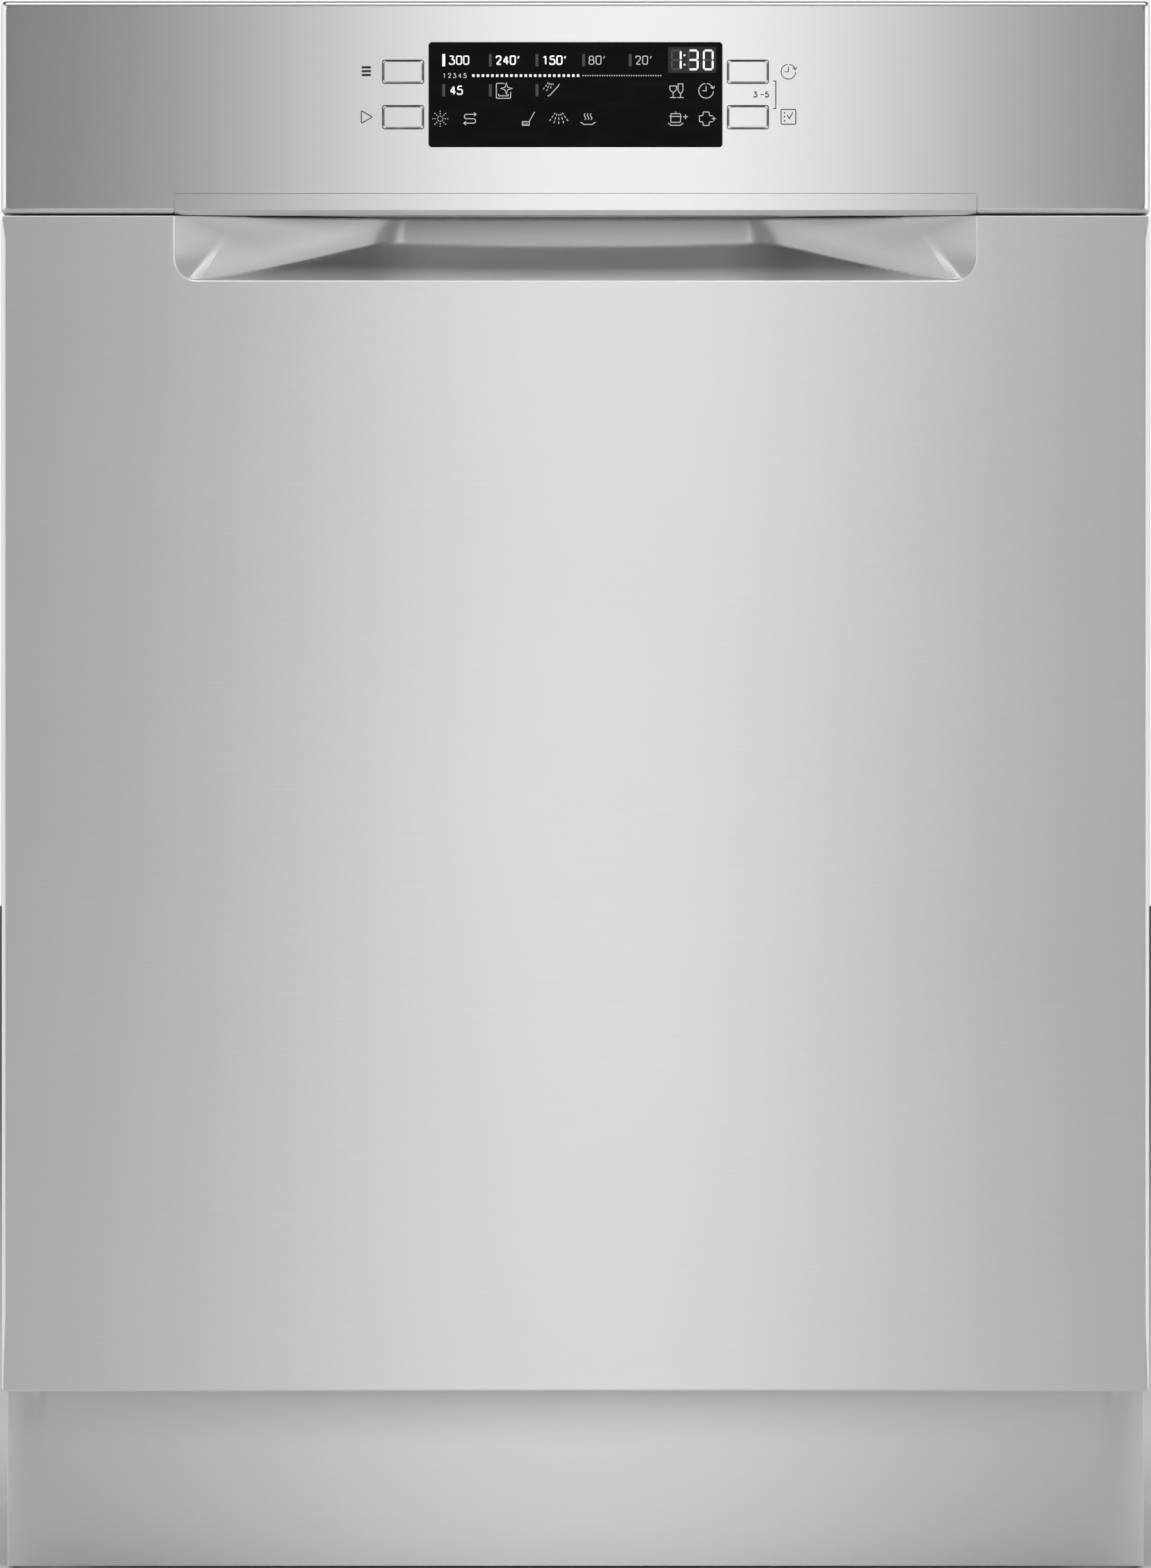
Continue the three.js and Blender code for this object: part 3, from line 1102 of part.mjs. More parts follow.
function makeFascia() {
  const pan = openPan(FRONT_Y, FLANGE_BACK_Y, doorSpanX, fasciaSpanZ, MOULDING, DOOR_EDGE_RADIUS, 2);
  const linerSide = block([LINER_HALF_WIDTH - 2 * SHEET, HALF_WIDTH - SHEET], turnedIn, [0, SEAM_Z + 9]);
  const rebate = block(wide(HALF_WIDTH - SHEET), turnedIn, inset(fasciaSpanZ, SHEET));
  const lip = block(wide(gripHalfWidth + 4), [FRONT_Y + 1, FRONT_Y + GRIP_DEPTH], [
    fasciaSpanZ[0] + 1,
    GRIP_TOP_Z + 4,
  ]);
  const room = fingerRoom(MOULDING, [fasciaSpanZ[0], SEAM_Z + GRIP_ROOM + MOULDING]);
  const roomBack = block(wide(HALF_WIDTH), [POCKET_BACK_Y + MOULDING, 0], [0, HEIGHT]);
  const stripSeat = union(
    block(wide(gripHalfWidth + SEAT), [FRONT_Y - 1, FRONT_Y + GRIP_PLATE + SEAT], [0, GRIP_TOP_Z + SEAT]),
    block(wide(gripHalfWidth + SEAT), [FRONT_Y - 1, FRONT_Y + GRIP_DEPTH], [0, SEAM_Z + GRIP_PLATE + SEAT]),
  );
  const hollow = fingerRoom(0, [0, SEAM_Z + GRIP_ROOM]);
  const holes = Object.values(buttonPlaces).map((at) => buttonForm(at, SEAT, [FRONT_Y - 1, FRONT_Y + 6]));
  return cut(
    union(cut(pan, rebate), lip, cut(room, roomBack)),
    stripSeat,
    hollow,
    holes,
    displayForm(SEAT, [FRONT_Y - 1, FRONT_Y + 6]),
    both(linerSide),
  );
}
add("fascia", makeFascia(), MATERIALS.panelSteel);

// The grip strip: a chamfered face with a leg turned back under the control panel's lip.
function makeGripStrip() {
  const outline = [
    [FRONT_Y, GRIP_TOP_Z],
    [FRONT_Y, SEAM_Z + GRIP_CHAMFER],
    [FRONT_Y + GRIP_CHAMFER, SEAM_Z],
    [FRONT_Y + GRIP_DEPTH, SEAM_Z],
    [FRONT_Y + GRIP_DEPTH, SEAM_Z + GRIP_PLATE],
    [FRONT_Y + GRIP_PLATE, SEAM_Z + GRIP_PLATE],
    [FRONT_Y + GRIP_PLATE, GRIP_TOP_Z],
  ];
  return prism("x", polygon(outline.toReversed()), wide(gripHalfWidth));
}
add("grip_strip", makeGripStrip(), MATERIALS.panelSteel);

add(
  "display_window",
  displayForm(0, [FRONT_Y + FACE_INSET, FRONT_Y + MOULDING]),
  MATERIALS.blackGlass,
);

const BUTTON_BACK_Y = FRONT_Y + FACE_INSET + BUTTON_LENGTH;
for (const [name, at] of Object.entries(buttonPlaces)) {
  const cap = buttonForm(at, 0, [FRONT_Y + FACE_INSET, BUTTON_BACK_Y - 3]);
  const stem = rod("y", at, 3.2, [BUTTON_BACK_Y - 4, BUTTON_BACK_Y], 8);
  add(name, union(cap, stem), MATERIALS.panelSteel);
}

// The control box sits behind the control panel, with wells that the buttons press into.
function makeControlBoard() {
  const spanZ = about(DISPLAY_Z, CONTROL_BOX_HEIGHT);
  const front = FRONT_Y + MOULDING + SEAT;
  const box = prism("y", roundRect(wide(CONTROL_BOX_WIDTH / 2), [spanZ[0], LATCH_Z[0] + 6], 6), [
    front,
    front + CONTROL_BOX_DEPTH,
  ]);
  const wells = Object.values(buttonPlaces).map((at) =>
    buttonForm(at, 1, [front - 1, BUTTON_BACK_Y + BUTTON_TRAVEL + 0.6]),
  );
  const ribs = spread(6, -130, 130).map((x) =>
    block(about(x, 3), [front + CONTROL_BOX_DEPTH - 1, front + CONTROL_BOX_DEPTH + 3], inset(spanZ, 8)),
  );
  const clearOfLatch = block(wide(LATCH_X + 4), [LINER_Y - 30, 0], [LATCH_Z[0] - 4, HEIGHT]);
  return cut(union(box, ribs), wells, clearOfLatch);
}
add("control_board", makeControlBoard(), MATERIALS.darkPlastic);

// Liner: the wet inner face of the door, with its edges turned forward inside the panel's.
const linerSpanZ = [DOOR_BOTTOM_Z + SHEET + SEAT, HEIGHT - SHEET - SEAT];
const DISPENSER_X = [-96, 92];
const DISPENSER_Z = [462, 622];
const DISPENSER_FRONT_Y = LINER_DISH_Y - 20;
const DISPENSER_FACE_Y = LINER_Y - 3.6;
function makeLiner() {
  const spanX = wide(LINER_HALF_WIDTH);
  const pan = cut(
    prism("y", roundRect(spanX, linerSpanZ, 2), [LINER_Y - LINER_TURN, LINER_Y]),
    block(inset(spanX, SHEET), [FRONT_Y, LINER_Y - SHEET], inset(linerSpanZ, SHEET)),
  );
  const dish = [inset(spanX, LINER_DISH_MARGIN), [linerSpanZ[0] + 46, linerSpanZ[1] - LINER_DISH_MARGIN]];
  const grown = dish.map((span) => inset(span, -SHEET));
  const pressed = dishForm(LINER_Y - SHEET / 2, LINER_DISH_Y - SHEET, ...grown, 12, 20);
  const hollow = dishForm(LINER_Y + SHEET, LINER_DISH_Y, ...dish, 12, 20);
  const opening = prism("y", roundRect(inset(DISPENSER_X, -SEAT), inset(DISPENSER_Z, -SEAT), 10), [FRONT_Y, 0]);
  const slot = block(wide(TONGUE_HALF_WIDTH + 5), [FRONT_Y, 0], LATCH_SLOT_Z);
  const hingeNotch = both(
    block([BRACKET_X[0] - 2, HINGE_ARM_X[1] + 2], [FRONT_Y, 0], [0, HINGE_Z + HINGE_NOSE + 4]),
  );
  return cut(union(pan, pressed), hollow, opening, slot, hingeNotch);
}
add("door_liner", makeLiner(), MATERIALS.tubSteel);

// Dispenser: a moulded block in the liner with a detergent cup and a well for the rinse-aid cap.
const CUP_X = [-76, 22];
const CUP_Z = [482, 542];
const CAP_AT = [58, 500];
const CAP_RADIUS = 20;
function makeDispenser() {
  const body = prism("y", roundRect(DISPENSER_X, DISPENSER_Z, 10), [DISPENSER_FRONT_Y, DISPENSER_FACE_Y]);
  const cup = loft([
    ringAtY(DISPENSER_FACE_Y + 1, CUP_X, CUP_Z, 8),
    ringAtY(DISPENSER_FRONT_Y + MOULDING, inset(CUP_X, 3), inset(CUP_Z, 3), 6),
  ]);
  const well = rod("y", CAP_AT, 13, [DISPENSER_FRONT_Y + MOULDING, 0]);
  const grips = spread(5, CUP_X[0] + 10, CUP_X[1] - 10).map((x) =>
    block(about(x, 3), [DISPENSER_FACE_Y - 1.5, 0], [CUP_Z[1] + 66, DISPENSER_Z[1] - 6]),
  );
  return cut(body, cup, well, grips);
}
add("dispenser", makeDispenser(), MATERIALS.greyPlastic);

function makeDispenserLid() {
  const spanX = inset(CUP_X, -5);
  const spanZ = inset(CUP_Z, -5);
  const faceY = DISPENSER_FACE_Y + SEAT;
  const plate = prism("y", roundRect(spanX, spanZ, 6), [faceY, faceY + 2]);
  const ridge = block(inset(spanX, 24), [faceY, faceY + 3], about(spanZ[1] - 10, 5));
  return union(plate, ridge);
}
add("dispenser_lid", makeDispenserLid(), MATERIALS.darkPlastic);

function makeRinseAidCap() {
  const faceY = DISPENSER_FACE_Y + SEAT;
  const disk = rod("y", CAP_AT, CAP_RADIUS, [faceY, faceY + 2], 24);
  const plug = rod("y", CAP_AT, 12, [DISPENSER_FRONT_Y + 9, faceY + 1]);
  const grip = block(about(CAP_AT[0], 5), [faceY, faceY + 3.2], about(CAP_AT[1], 30));
  return union(disk, plug, grip);
}
add("rinse_aid_cap", makeRinseAidCap(), MATERIALS.darkPlastic);

// Latch in the door, and the tongue on the cabinet that it grips.
function makeLatch() {
  const housing = block(wide(LATCH_X), [LINER_Y - 30, LINER_Y - SHEET - SEAT], [LATCH_Z[0], LATCH_Z[1] - 2]);
  const mouth = block(wide(TONGUE_HALF_WIDTH + 5), [LINER_Y - 25, 0], LATCH_SLOT_Z);
  return cut(housing, mouth);
}
add("door_latch", makeLatch(), MATERIALS.darkPlastic);

function makeLatchCatch() {
  const root = block(wide(22), [TUB_FRONT_Y + 2 * SHEET + SEAT, TUB_FRONT_Y + 40], [
    TUB_CEILING_Z + SEAT,
    HEIGHT - 6 - 2 * SHEET,
  ]);
  const tongue = prism(
    "z",
    polygon([
      [-TONGUE_HALF_WIDTH, TUB_FRONT_Y + 10],
      [-TONGUE_HALF_WIDTH, LINER_Y - 12],
      [-TONGUE_HALF_WIDTH + 3, LINER_Y - 18],
      [TONGUE_HALF_WIDTH - 3, LINER_Y - 18],
      [TONGUE_HALF_WIDTH, LINER_Y - 12],
      [TONGUE_HALF_WIDTH, TUB_FRONT_Y + 10],
    ]),
    TONGUE_Z,
  );
  return union(root, tongue);
}
add("latch_catch", makeLatchCatch(), MATERIALS.tubSteel);

// Hinges: a bracket on each side of the base holds the pin, and an arm inside the door turns on it.
const HINGE_PIN_RADIUS = 4;
const hingeAt = [LINER_Y, HINGE_Z];
function makeHingeBracket() {
  const nose = rod("x", hingeAt, HINGE_NOSE, BRACKET_X, 14);
  const web = prism(
    "x",
    polygon([
      [LINER_Y, HINGE_Z - HINGE_NOSE],
      [BASE_FRONT_Y + 60, HINGE_Z - HINGE_NOSE],
      [BASE_FRONT_Y + 60, HINGE_Z + 34],
      [BASE_FRONT_Y + 26, HINGE_Z + 34],
      [LINER_Y, HINGE_Z + HINGE_NOSE],
    ]),
    BRACKET_X,
  );
  const pin = rod("x", hingeAt, HINGE_PIN_RADIUS, [BRACKET_X[0], HINGE_ARM_X[1] + 1.2], 10);
  const head = rod("x", hingeAt, HINGE_PIN_RADIUS + 2, [HINGE_ARM_X[1] + SEAT, HINGE_ARM_X[1] + 1.6], 10);
  return union(nose, web, pin, head);
}
addPair("hinge_bracket", makeHingeBracket(), MATERIALS.zincSheet);

function makeHingeArm() {
  const eye = rod("x", hingeAt, HINGE_NOSE - 1.5, HINGE_ARM_X, 14);
  const bar = prism(
    "x",
    polygon([
      [LINER_Y - 8, HINGE_Z - 4],
      [LINER_Y + 2, HINGE_Z - 4],
      [LINER_Y + 2, HINGE_Z + 6],
      [LINER_Y - SHEET - SEAT, HINGE_Z + HINGE_NOSE + 3],
      [LINER_Y - SHEET - SEAT, HINGE_Z + 110],
      [LINER_Y - 18, HINGE_Z + 110],
      [LINER_Y - 18, HINGE_Z + 14],
    ]),
    HINGE_ARM_X,
  );
  const foot = block([HINGE_ARM_X[0] - 10, HINGE_ARM_X[1]], [LINER_Y - SHEET - SEAT - 2, LINER_Y - SHEET - SEAT], [
    HINGE_Z + 24,
    HINGE_Z + 110,
  ]);
  const bore = rod("x", hingeAt, HINGE_PIN_RADIUS + SEAT, inset(HINGE_ARM_X, -1), 10);
  return cut(union(eye, bar, foot), bore);
}
addPair("hinge_arm", makeHingeArm(), MATERIALS.zincSheet);

export default dishwasher;
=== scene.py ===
"""The looks of a built-under dishwasher: finishes, pressed sheets, wire racks and printed marks round its CAD frame.

Everything is in metres, +Z up, with the front at -Y and the origin on the floor under the machine's middle.
"""

import json
import logging
import math
from dataclasses import dataclass
from enum import Enum

import bmesh
import bpy
import numpy as np
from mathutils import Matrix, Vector

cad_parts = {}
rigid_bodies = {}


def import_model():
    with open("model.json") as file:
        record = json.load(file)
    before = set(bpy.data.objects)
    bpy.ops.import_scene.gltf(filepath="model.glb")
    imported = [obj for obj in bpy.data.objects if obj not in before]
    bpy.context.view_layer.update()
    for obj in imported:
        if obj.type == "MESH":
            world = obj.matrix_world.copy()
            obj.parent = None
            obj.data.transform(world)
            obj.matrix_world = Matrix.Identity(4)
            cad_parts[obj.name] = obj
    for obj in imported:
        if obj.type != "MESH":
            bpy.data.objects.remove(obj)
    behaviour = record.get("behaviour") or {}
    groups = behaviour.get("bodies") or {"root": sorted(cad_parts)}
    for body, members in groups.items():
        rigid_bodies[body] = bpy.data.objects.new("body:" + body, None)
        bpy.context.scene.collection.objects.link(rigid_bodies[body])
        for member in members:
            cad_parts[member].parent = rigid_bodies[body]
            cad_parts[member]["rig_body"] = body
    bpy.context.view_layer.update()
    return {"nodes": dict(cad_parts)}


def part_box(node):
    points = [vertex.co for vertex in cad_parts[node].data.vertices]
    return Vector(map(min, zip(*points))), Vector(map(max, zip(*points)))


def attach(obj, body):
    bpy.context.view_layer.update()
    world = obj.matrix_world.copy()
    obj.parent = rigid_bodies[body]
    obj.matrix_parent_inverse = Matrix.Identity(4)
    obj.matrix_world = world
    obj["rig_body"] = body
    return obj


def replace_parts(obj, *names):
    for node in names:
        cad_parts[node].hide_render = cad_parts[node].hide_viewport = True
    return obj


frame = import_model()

log = logging.getLogger("dishwasher")
MM = 0.001
Array = np.ndarray
Triple = tuple[float, float, float]
Socket = bpy.types.NodeSocket
SAME_POINT = 0.01 * MM  # points of a CAD node this near each other are one
SAME_PLANE = math.radians(0.5)  # its faces this near to one plane are one


# ---------------------------------------------------------------- meshes from arrays


@dataclass(frozen=True)
class Skin:
    """Points and faces of a surface, before it becomes a piece."""

    points: Array
    faces: Array

    def __add__(self, other: "Skin") -> "Skin":
        """Both skins as one, side by side."""
        points = np.concatenate([self.points, other.points])
        return Skin(points, np.concatenate([self.faces, other.faces + len(self.points)]))

    def moved(self, offset: Triple) -> "Skin":
        """A copy shifted by an offset."""
        return Skin(self.points + np.array(offset), self.faces)

    def mirrored(self) -> "Skin":
        """A copy mirrored across the plane x = 0, with its faces turned so that they still point outwards."""
        return Skin(self.points * np.array([-1.0, 1.0, 1.0]), self.faces[:, ::-1])


def joined(skins: list[Skin]) -> Skin:
    """All the skins as one: points end to end, each skin's faces shifted by the points before it.

    Args:
        skins: The skins to join.

    Returns:
        One skin.
    """
    shifts = np.cumsum([0] + [len(s.points) for s in skins[:-1]])
    return Skin(
        np.concatenate([s.points for s in skins]),
        np.concatenate([s.faces + shift for s, shift in zip(skins, shifts)]),
    )


def sheet_skin(points: Array, wrap_rows: bool = False, wrap_columns: bool = False) -> Skin:
    """A grid of points as quads: each face joins a point, its next in the row and the same two in the next row.

    Args:
        points: Array of shape (rows, columns, 3).
        wrap_rows: Whether the last row joins the first.
        wrap_columns: Whether the last column joins the first.

    Returns:
        The skin, whose faces point along (column step) x (row step).
    """
    rows, columns = points.shape[:2]
    i = np.arange(rows if wrap_rows else rows - 1)[:, None]
    j = np.arange(columns if wrap_columns else columns - 1)[None, :]
    below, right = (i + 1) % rows, (j + 1) % columns
    corners = (i * columns + j, i * columns + right, below * columns + right, below * columns + j)
    return Skin(points.reshape(-1, 3), np.stack(corners, axis=-1).reshape(-1, 4))


def rounded_line(points: Array, radius: float, steps: int = 4, closed: bool = False) -> Array:
    """A polyline with its corners rounded: each corner is a quadratic curve between two points set back along its legs.

    Args:
        points: Corner points, shape (n, 2) or (n, 3).
        radius: How far each curve reaches along its legs, at most 0.48 of the shorter one.
        steps: Segments in each curve.
        closed: Whether the line comes back to its start.

    Returns:
        The points of the rounded line.
    """
    p = np.asarray(points, float)
    before, after = np.roll(p, 1, 0), np.roll(p, -1, 0)
    back, ahead = before - p, after - p
    back_length = np.linalg.norm(back, axis=1, keepdims=True)
    ahead_length = np.linalg.norm(ahead, axis=1, keepdims=True)
    reach = np.minimum(radius, 0.48 * np.minimum(back_length, ahead_length))
    start, end = p + back / back_length * reach, p + ahead / ahead_length * reach
    t = np.linspace(0, 1, steps + 1)[None, :, None]
    curve = (1 - t) ** 2 * start[:, None] + 2 * t * (1 - t) * p[:, None] + t**2 * end[:, None]
    if closed:
        return curve.reshape(-1, p.shape[1])
    return np.concatenate([p[:1], curve[1:-1].reshape(-1, p.shape[1]), p[-1:]])


def tube(path: Array, radius: float, sides: int = 8, closed: bool = False) -> Skin:
    """A round wire along a path: a circle stood across the path's direction at each point, its ends closed to a point.

    Args:
        path: Points of the centre line, shape (n, 3), lying in one plane or nearly so.
        radius: The wire's radius.
        sides: Points round it.
        closed: Whether the wire comes back to its start.

    Returns:
        The wire's skin.
    """
    p = np.asarray(path, float)
    if closed:
        along = np.roll(p, -1, 0) - np.roll(p, 1, 0)
    else:
        along = np.gradient(p, axis=0)
    along /= np.linalg.norm(along, axis=1, keepdims=True)
    plane_normal = np.linalg.svd(p - p.mean(0), full_matrices=True)[2][2]
    across = plane_normal - along * (along @ plane_normal)[:, None]
    across /= np.linalg.norm(across, axis=1, keepdims=True)
    up = np.cross(along, across)
    turn = np.linspace(0, 2 * math.pi, sides, endpoint=False)[None, :, None]
    ring = np.cos(turn) * across[:, None] + np.sin(turn) * up[:, None]
    rings = p[:, None] + radius * ring
    if not closed:
        tips = ((0, -radius / 2), (-1, radius / 2))
        caps = [np.repeat(p[k][None, None], sides, 1) + along[k] * shift for k, shift in tips]
        rings = np.concatenate([caps[0], rings, caps[1]])
    return sheet_skin(rings, wrap_rows=closed, wrap_columns=True)


def turned(profile: Array, sides: int = 32) -> Skin:
    """A profile of (radius, height) points turned about the Z axis: x = r cos a, y = r sin a, z = height.

    Args:
        profile: Points from the bottom of the axis, outside and up, shape (n, 2).
        sides: Points round it.

    Returns:
        The turned skin about the origin.
    """
    turn = np.linspace(0, 2 * math.pi, sides, endpoint=False)[None, :]
    r, z = np.asarray(profile, float).T[..., None]
    return sheet_skin(np.stack([r * np.cos(turn), r * np.sin(turn), z + 0 * turn], -1), wrap_columns=True)


def along_x(skin: Skin) -> Skin:
    """A copy turned so that what pointed up points along +X."""
    return Skin(skin.points[:, [2, 0, 1]], skin.faces)


def prism(outline: Array, axis: int, low: float, high: float, edge: float) -> Skin:
    """An outline drawn out along an axis, with its end faces a little smaller so that its rims are cut slantwise.

    Args:
        outline: Points in the two axes that follow the axis in the order X, Y, Z, X, counter-clockwise.
        axis: 0 for X, 1 for Y or 2 for Z.
        low: Where it starts along the axis.
        high: Where it ends.
        edge: Width of the slanting rim.

    Returns:
        The closed skin.
    """
    p = np.asarray(outline, float)
    middle = (p.min(0) + p.max(0)) / 2
    inner = middle + (p - middle) * (1 - edge / np.abs(p - middle).max(0))
    point = np.repeat(middle[None], len(p), 0)
    grid = np.empty((6, len(p), 3))
    grid[..., [(axis + 1) % 3, (axis + 2) % 3]] = np.stack([point, inner, p, p, inner, point])
    grid[..., axis] = np.array([low, low, low + edge, high - edge, high, high])[:, None]
    return sheet_skin(grid, wrap_columns=True)


def slab(low: Triple, high: Triple, edge: float, axis: int = 2) -> Skin:
    """A box between two corners with rounded edges along an axis and slanting rims across it.

    Args:
        low: Lowest corner.
        high: Highest corner.
        edge: Radius of the rounding.
        axis: The axis that the rounded edges run along.

    Returns:
        The closed skin.
    """
    a, b = np.array(low, float), np.array(high, float)
    across = [(axis + 1) % 3, (axis + 2) % 3]
    half, middle = (b - a)[across] / 2, (a + b)[across] / 2
    return prism(box_outline(half[0], half[1], edge, 3) + middle, axis, a[axis], b[axis], edge)


def bar(start: Triple, end: Triple, radius: float, sides: int = 8) -> Skin:
    """A straight round wire between two points."""
    return tube(np.array([start, end]), radius, sides)


def box_outline(half_width: float, half_height: float, radius: float, steps: int = 6) -> Array:
    """The outline of a rectangle with round corners about the origin, counter-clockwise: four quarter circles.

    Args:
        half_width: Half the width.
        half_height: Half the height.
        radius: Radius of the corners.
        steps: Segments in each corner.

    Returns:
        Points of shape (4 * (steps + 1), 2).
    """
    corner = np.array([[1, 1], [-1, 1], [-1, -1], [1, -1]], float)
    centres = corner * np.array([half_width - radius, half_height - radius])
    turn = np.arange(4)[:, None] * math.pi / 2 + np.linspace(0, math.pi / 2, steps + 1)[None, :]
    arcs = np.stack([np.cos(turn), np.sin(turn)], -1) * radius
    return (centres[:, None] + arcs).reshape(-1, 2)


def piece(name: str, skin: Skin, finish: "Finish", body: str, sharp: float = 35.0) -> bpy.types.Object:
    """Makes a skin an object of the machine: its faces are smooth up to an angle, and it rides on a body.

    Args:
        name: The piece's name.
        skin: Its points and faces in the machine's frame.
        finish: Its material.
        body: The CAD body that it moves with.
        sharp: Angle in degrees past which an edge stays sharp.

    Returns:
        The object, linked to the scene.
    """
    mesh = bpy.data.meshes.new(name)
    mesh.from_pydata(skin.points.tolist(), [], skin.faces.tolist())
    made = bpy.data.objects.new(name, mesh)
    bpy.context.scene.collection.objects.link(made)
    merge_doubles(mesh)
    shade(mesh, sharp)
    mesh.materials.append(finish.material())
    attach(made, body)
    log.info("%s: %d faces on %s", name, len(mesh.polygons), body)
    return made


def merge_doubles(mesh: bpy.types.Mesh, distance: float = 1e-6) -> None:
    """Joins points that lie together and drops the faces that have no area.

    Args:
        mesh: The mesh to clean.
        distance: How near two points have to be.
    """
    work = bmesh.new()
    work.from_mesh(mesh)
    bmesh.ops.remove_doubles(work, verts=work.verts, dist=distance)
    bmesh.ops.dissolve_degenerate(work, edges=work.edges, dist=distance)
    work.to_mesh(mesh)
    work.free()


def shade(mesh: bpy.types.Mesh, sharp: float) -> None:
    """Makes the faces smooth, and keeps the steeper edges sharp.

    Args:
        mesh: The mesh to shade.
        sharp: Angle in degrees past which an edge stays sharp.
    """
    mesh.polygons.foreach_set("use_smooth", np.ones(len(mesh.polygons), bool))
    mesh.set_sharp_from_angle(angle=math.radians(sharp))
    mesh.update()


def even_normals(made: bpy.types.Object) -> None:
    """Lets large flat faces keep their own direction beside small rounded ones.

    Args:
        made: The piece, whose shading a modifier then evens.
    """
    even = made.modifiers.new("even_normals", "WEIGHTED_NORMAL")
    even.weight = 100
    even.keep_sharp = True


def dressed_copy(
    node: str,
    finish: "Finish",
    bevel: float = 0.0,
    sharp: float = 30.0,
    foremost: float = -1.0,
    lowest: float = 0.0,
) -> bpy.types.Object:
    """A CAD node's own shape with its points merged, its flat faces made whole and, if asked, its edges rounded.

    Args:
        node: The CAD node, which the copy replaces.
        finish: Its material.
        bevel: Width of the rounding on its edges, or 0 for none.
        sharp: Angle in degrees past which an edge stays sharp.
        foremost: The y that no point lies in front of.
        lowest: The z that no point lies under.

    Returns:
        The piece, riding on the node's body.
    """
    source = frame["nodes"][node]
    mesh = source.data.copy()
    mesh.materials.clear()
    work = bmesh.new()
    work.from_mesh(mesh)
    bmesh.ops.remove_doubles(work, verts=work.verts, dist=SAME_POINT)
    bmesh.ops.dissolve_limit(
        work, angle_limit=SAME_PLANE, verts=work.verts, edges=work.edges, use_dissolve_boundaries=False
    )
    for vertex in work.verts:
        vertex.co.y, vertex.co.z = max(vertex.co.y, foremost), max(vertex.co.z, lowest)
    work.to_mesh(mesh)
    work.free()
    made = bpy.data.objects.new(f"{node}_skin", mesh)
    bpy.context.scene.collection.objects.link(made)
    shade(mesh, sharp)
    mesh.materials.append(finish.material())
    if bevel:
        rounding = made.modifiers.new("rounding", "BEVEL")
        rounding.width = bevel
        rounding.segments = 2
        rounding.limit_method = "ANGLE"
        rounding.angle_limit = math.radians(sharp)
    even_normals(made)
    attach(made, source["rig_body"])
    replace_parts(made, node)
    log.info("%s stands for the CAD node %s", made.name, node)
    return made


# ---------------------------------------------------------------- finishes


class NodeSketch:
    """A material's node tree, drawn one node at a time on the piece's own coordinates."""

    def __init__(self, name: str) -> None:
        """Starts a material with a Principled shader.

        Args:
            name: The material's name.
        """
        self.material = bpy.data.materials.new(name)
        self.material.use_nodes = True
        self.tree = self.material.node_tree
        self.shader = self.tree.nodes["Principled BSDF"]

    def feed(self, node: bpy.types.Node, inputs: dict) -> None:
        """Sets a node's inputs: a socket is linked, and anything else is the input's value.

        Args:
            node: The node to feed.
            inputs: Each input's name or number, with what goes into it.
        """
        for key, value in inputs.items():
            if isinstance(value, Socket):
                self.tree.links.new(value, node.inputs[key])
            else:
                node.inputs[key].default_value = value

    def node(self, kind: str, inputs: dict, **settings: object) -> bpy.types.Node:
        """Adds a shader node.

        Args:
            kind: Its type, without the leading ShaderNode.
            inputs: Its inputs, as feed takes them.
            settings: Its own properties.

        Returns:
            The node.
        """
        made = self.tree.nodes.new("ShaderNode" + kind)
        for key, value in settings.items():
            setattr(made, key, value)
        self.feed(made, inputs)
        return made

    def place(self, scale: Triple = (1, 1, 1)) -> Socket:
        """The piece's own coordinates, stretched by a scale."""
        own = self.node("TexCoord", {}).outputs["Object"]
        return self.node("Mapping", {"Vector": own, "Scale": scale}).outputs["Vector"]

    def noise(self, place: Socket, scale: float, detail: float = 2.0) -> Socket:
        """A cloudy value from 0 to 1 at a scale in cells per metre."""
        return self.node("TexNoise", {"Vector": place, "Scale": scale, "Detail": detail}).outputs["Fac"]

    def cells(self, place: Socket, scale: float) -> Socket:
        """A grey that is the same all over each cell of a crystal pattern."""
        colour = self.node("TexVoronoi", {"Vector": place, "Scale": scale}).outputs["Color"]
        return self.node("SeparateColor", {"Color": colour}).outputs["Red"]

    def span(self, value: Socket, low: float, high: float) -> Socket:
        """A value from the middle of 0 to 1 stretched to run from low to high."""
        limits = {"From Min": 0.25, "From Max": 0.75, "To Min": low, "To Max": high}
        return self.node("MapRange", {"Value": value, **limits}).outputs["Result"]

    def tint(self, share: Socket, colour: Triple, change: float) -> Socket:
        """A colour that a value from 0 to 1 makes darker or lighter by a change."""
        dark, light = [(*(min(1.0, c * k) for c in colour), 1.0) for k in (1 - change, 1 + change)]
        return self.mix(share, dark, light)

    def mix(self, share: Socket, first: object, second: object) -> Socket:
        """A colour between two, each a socket or four numbers."""
        return self.node("Mix", {0: share, 6: first, 7: second}, data_type="RGBA").outputs[2]

    def mean(self, first: Socket, second: Socket) -> Socket:
        """The mean of two values."""
        total = self.node("Math", {0: first, 1: second}, operation="ADD").outputs["Value"]
        return self.node("Math", {0: total, 1: 0.5}, operation="MULTIPLY").outputs["Value"]

    def bump(self, height: Socket, depth: float) -> Socket:
        """A normal that follows a height of that depth in metres."""
        return self.node("Bump", {"Height": height, "Distance": depth, "Strength": 1.0}).outputs["Normal"]

    def surface(self, inputs: dict) -> None:
        """Feeds the shader itself."""
        self.feed(self.shader, inputs)


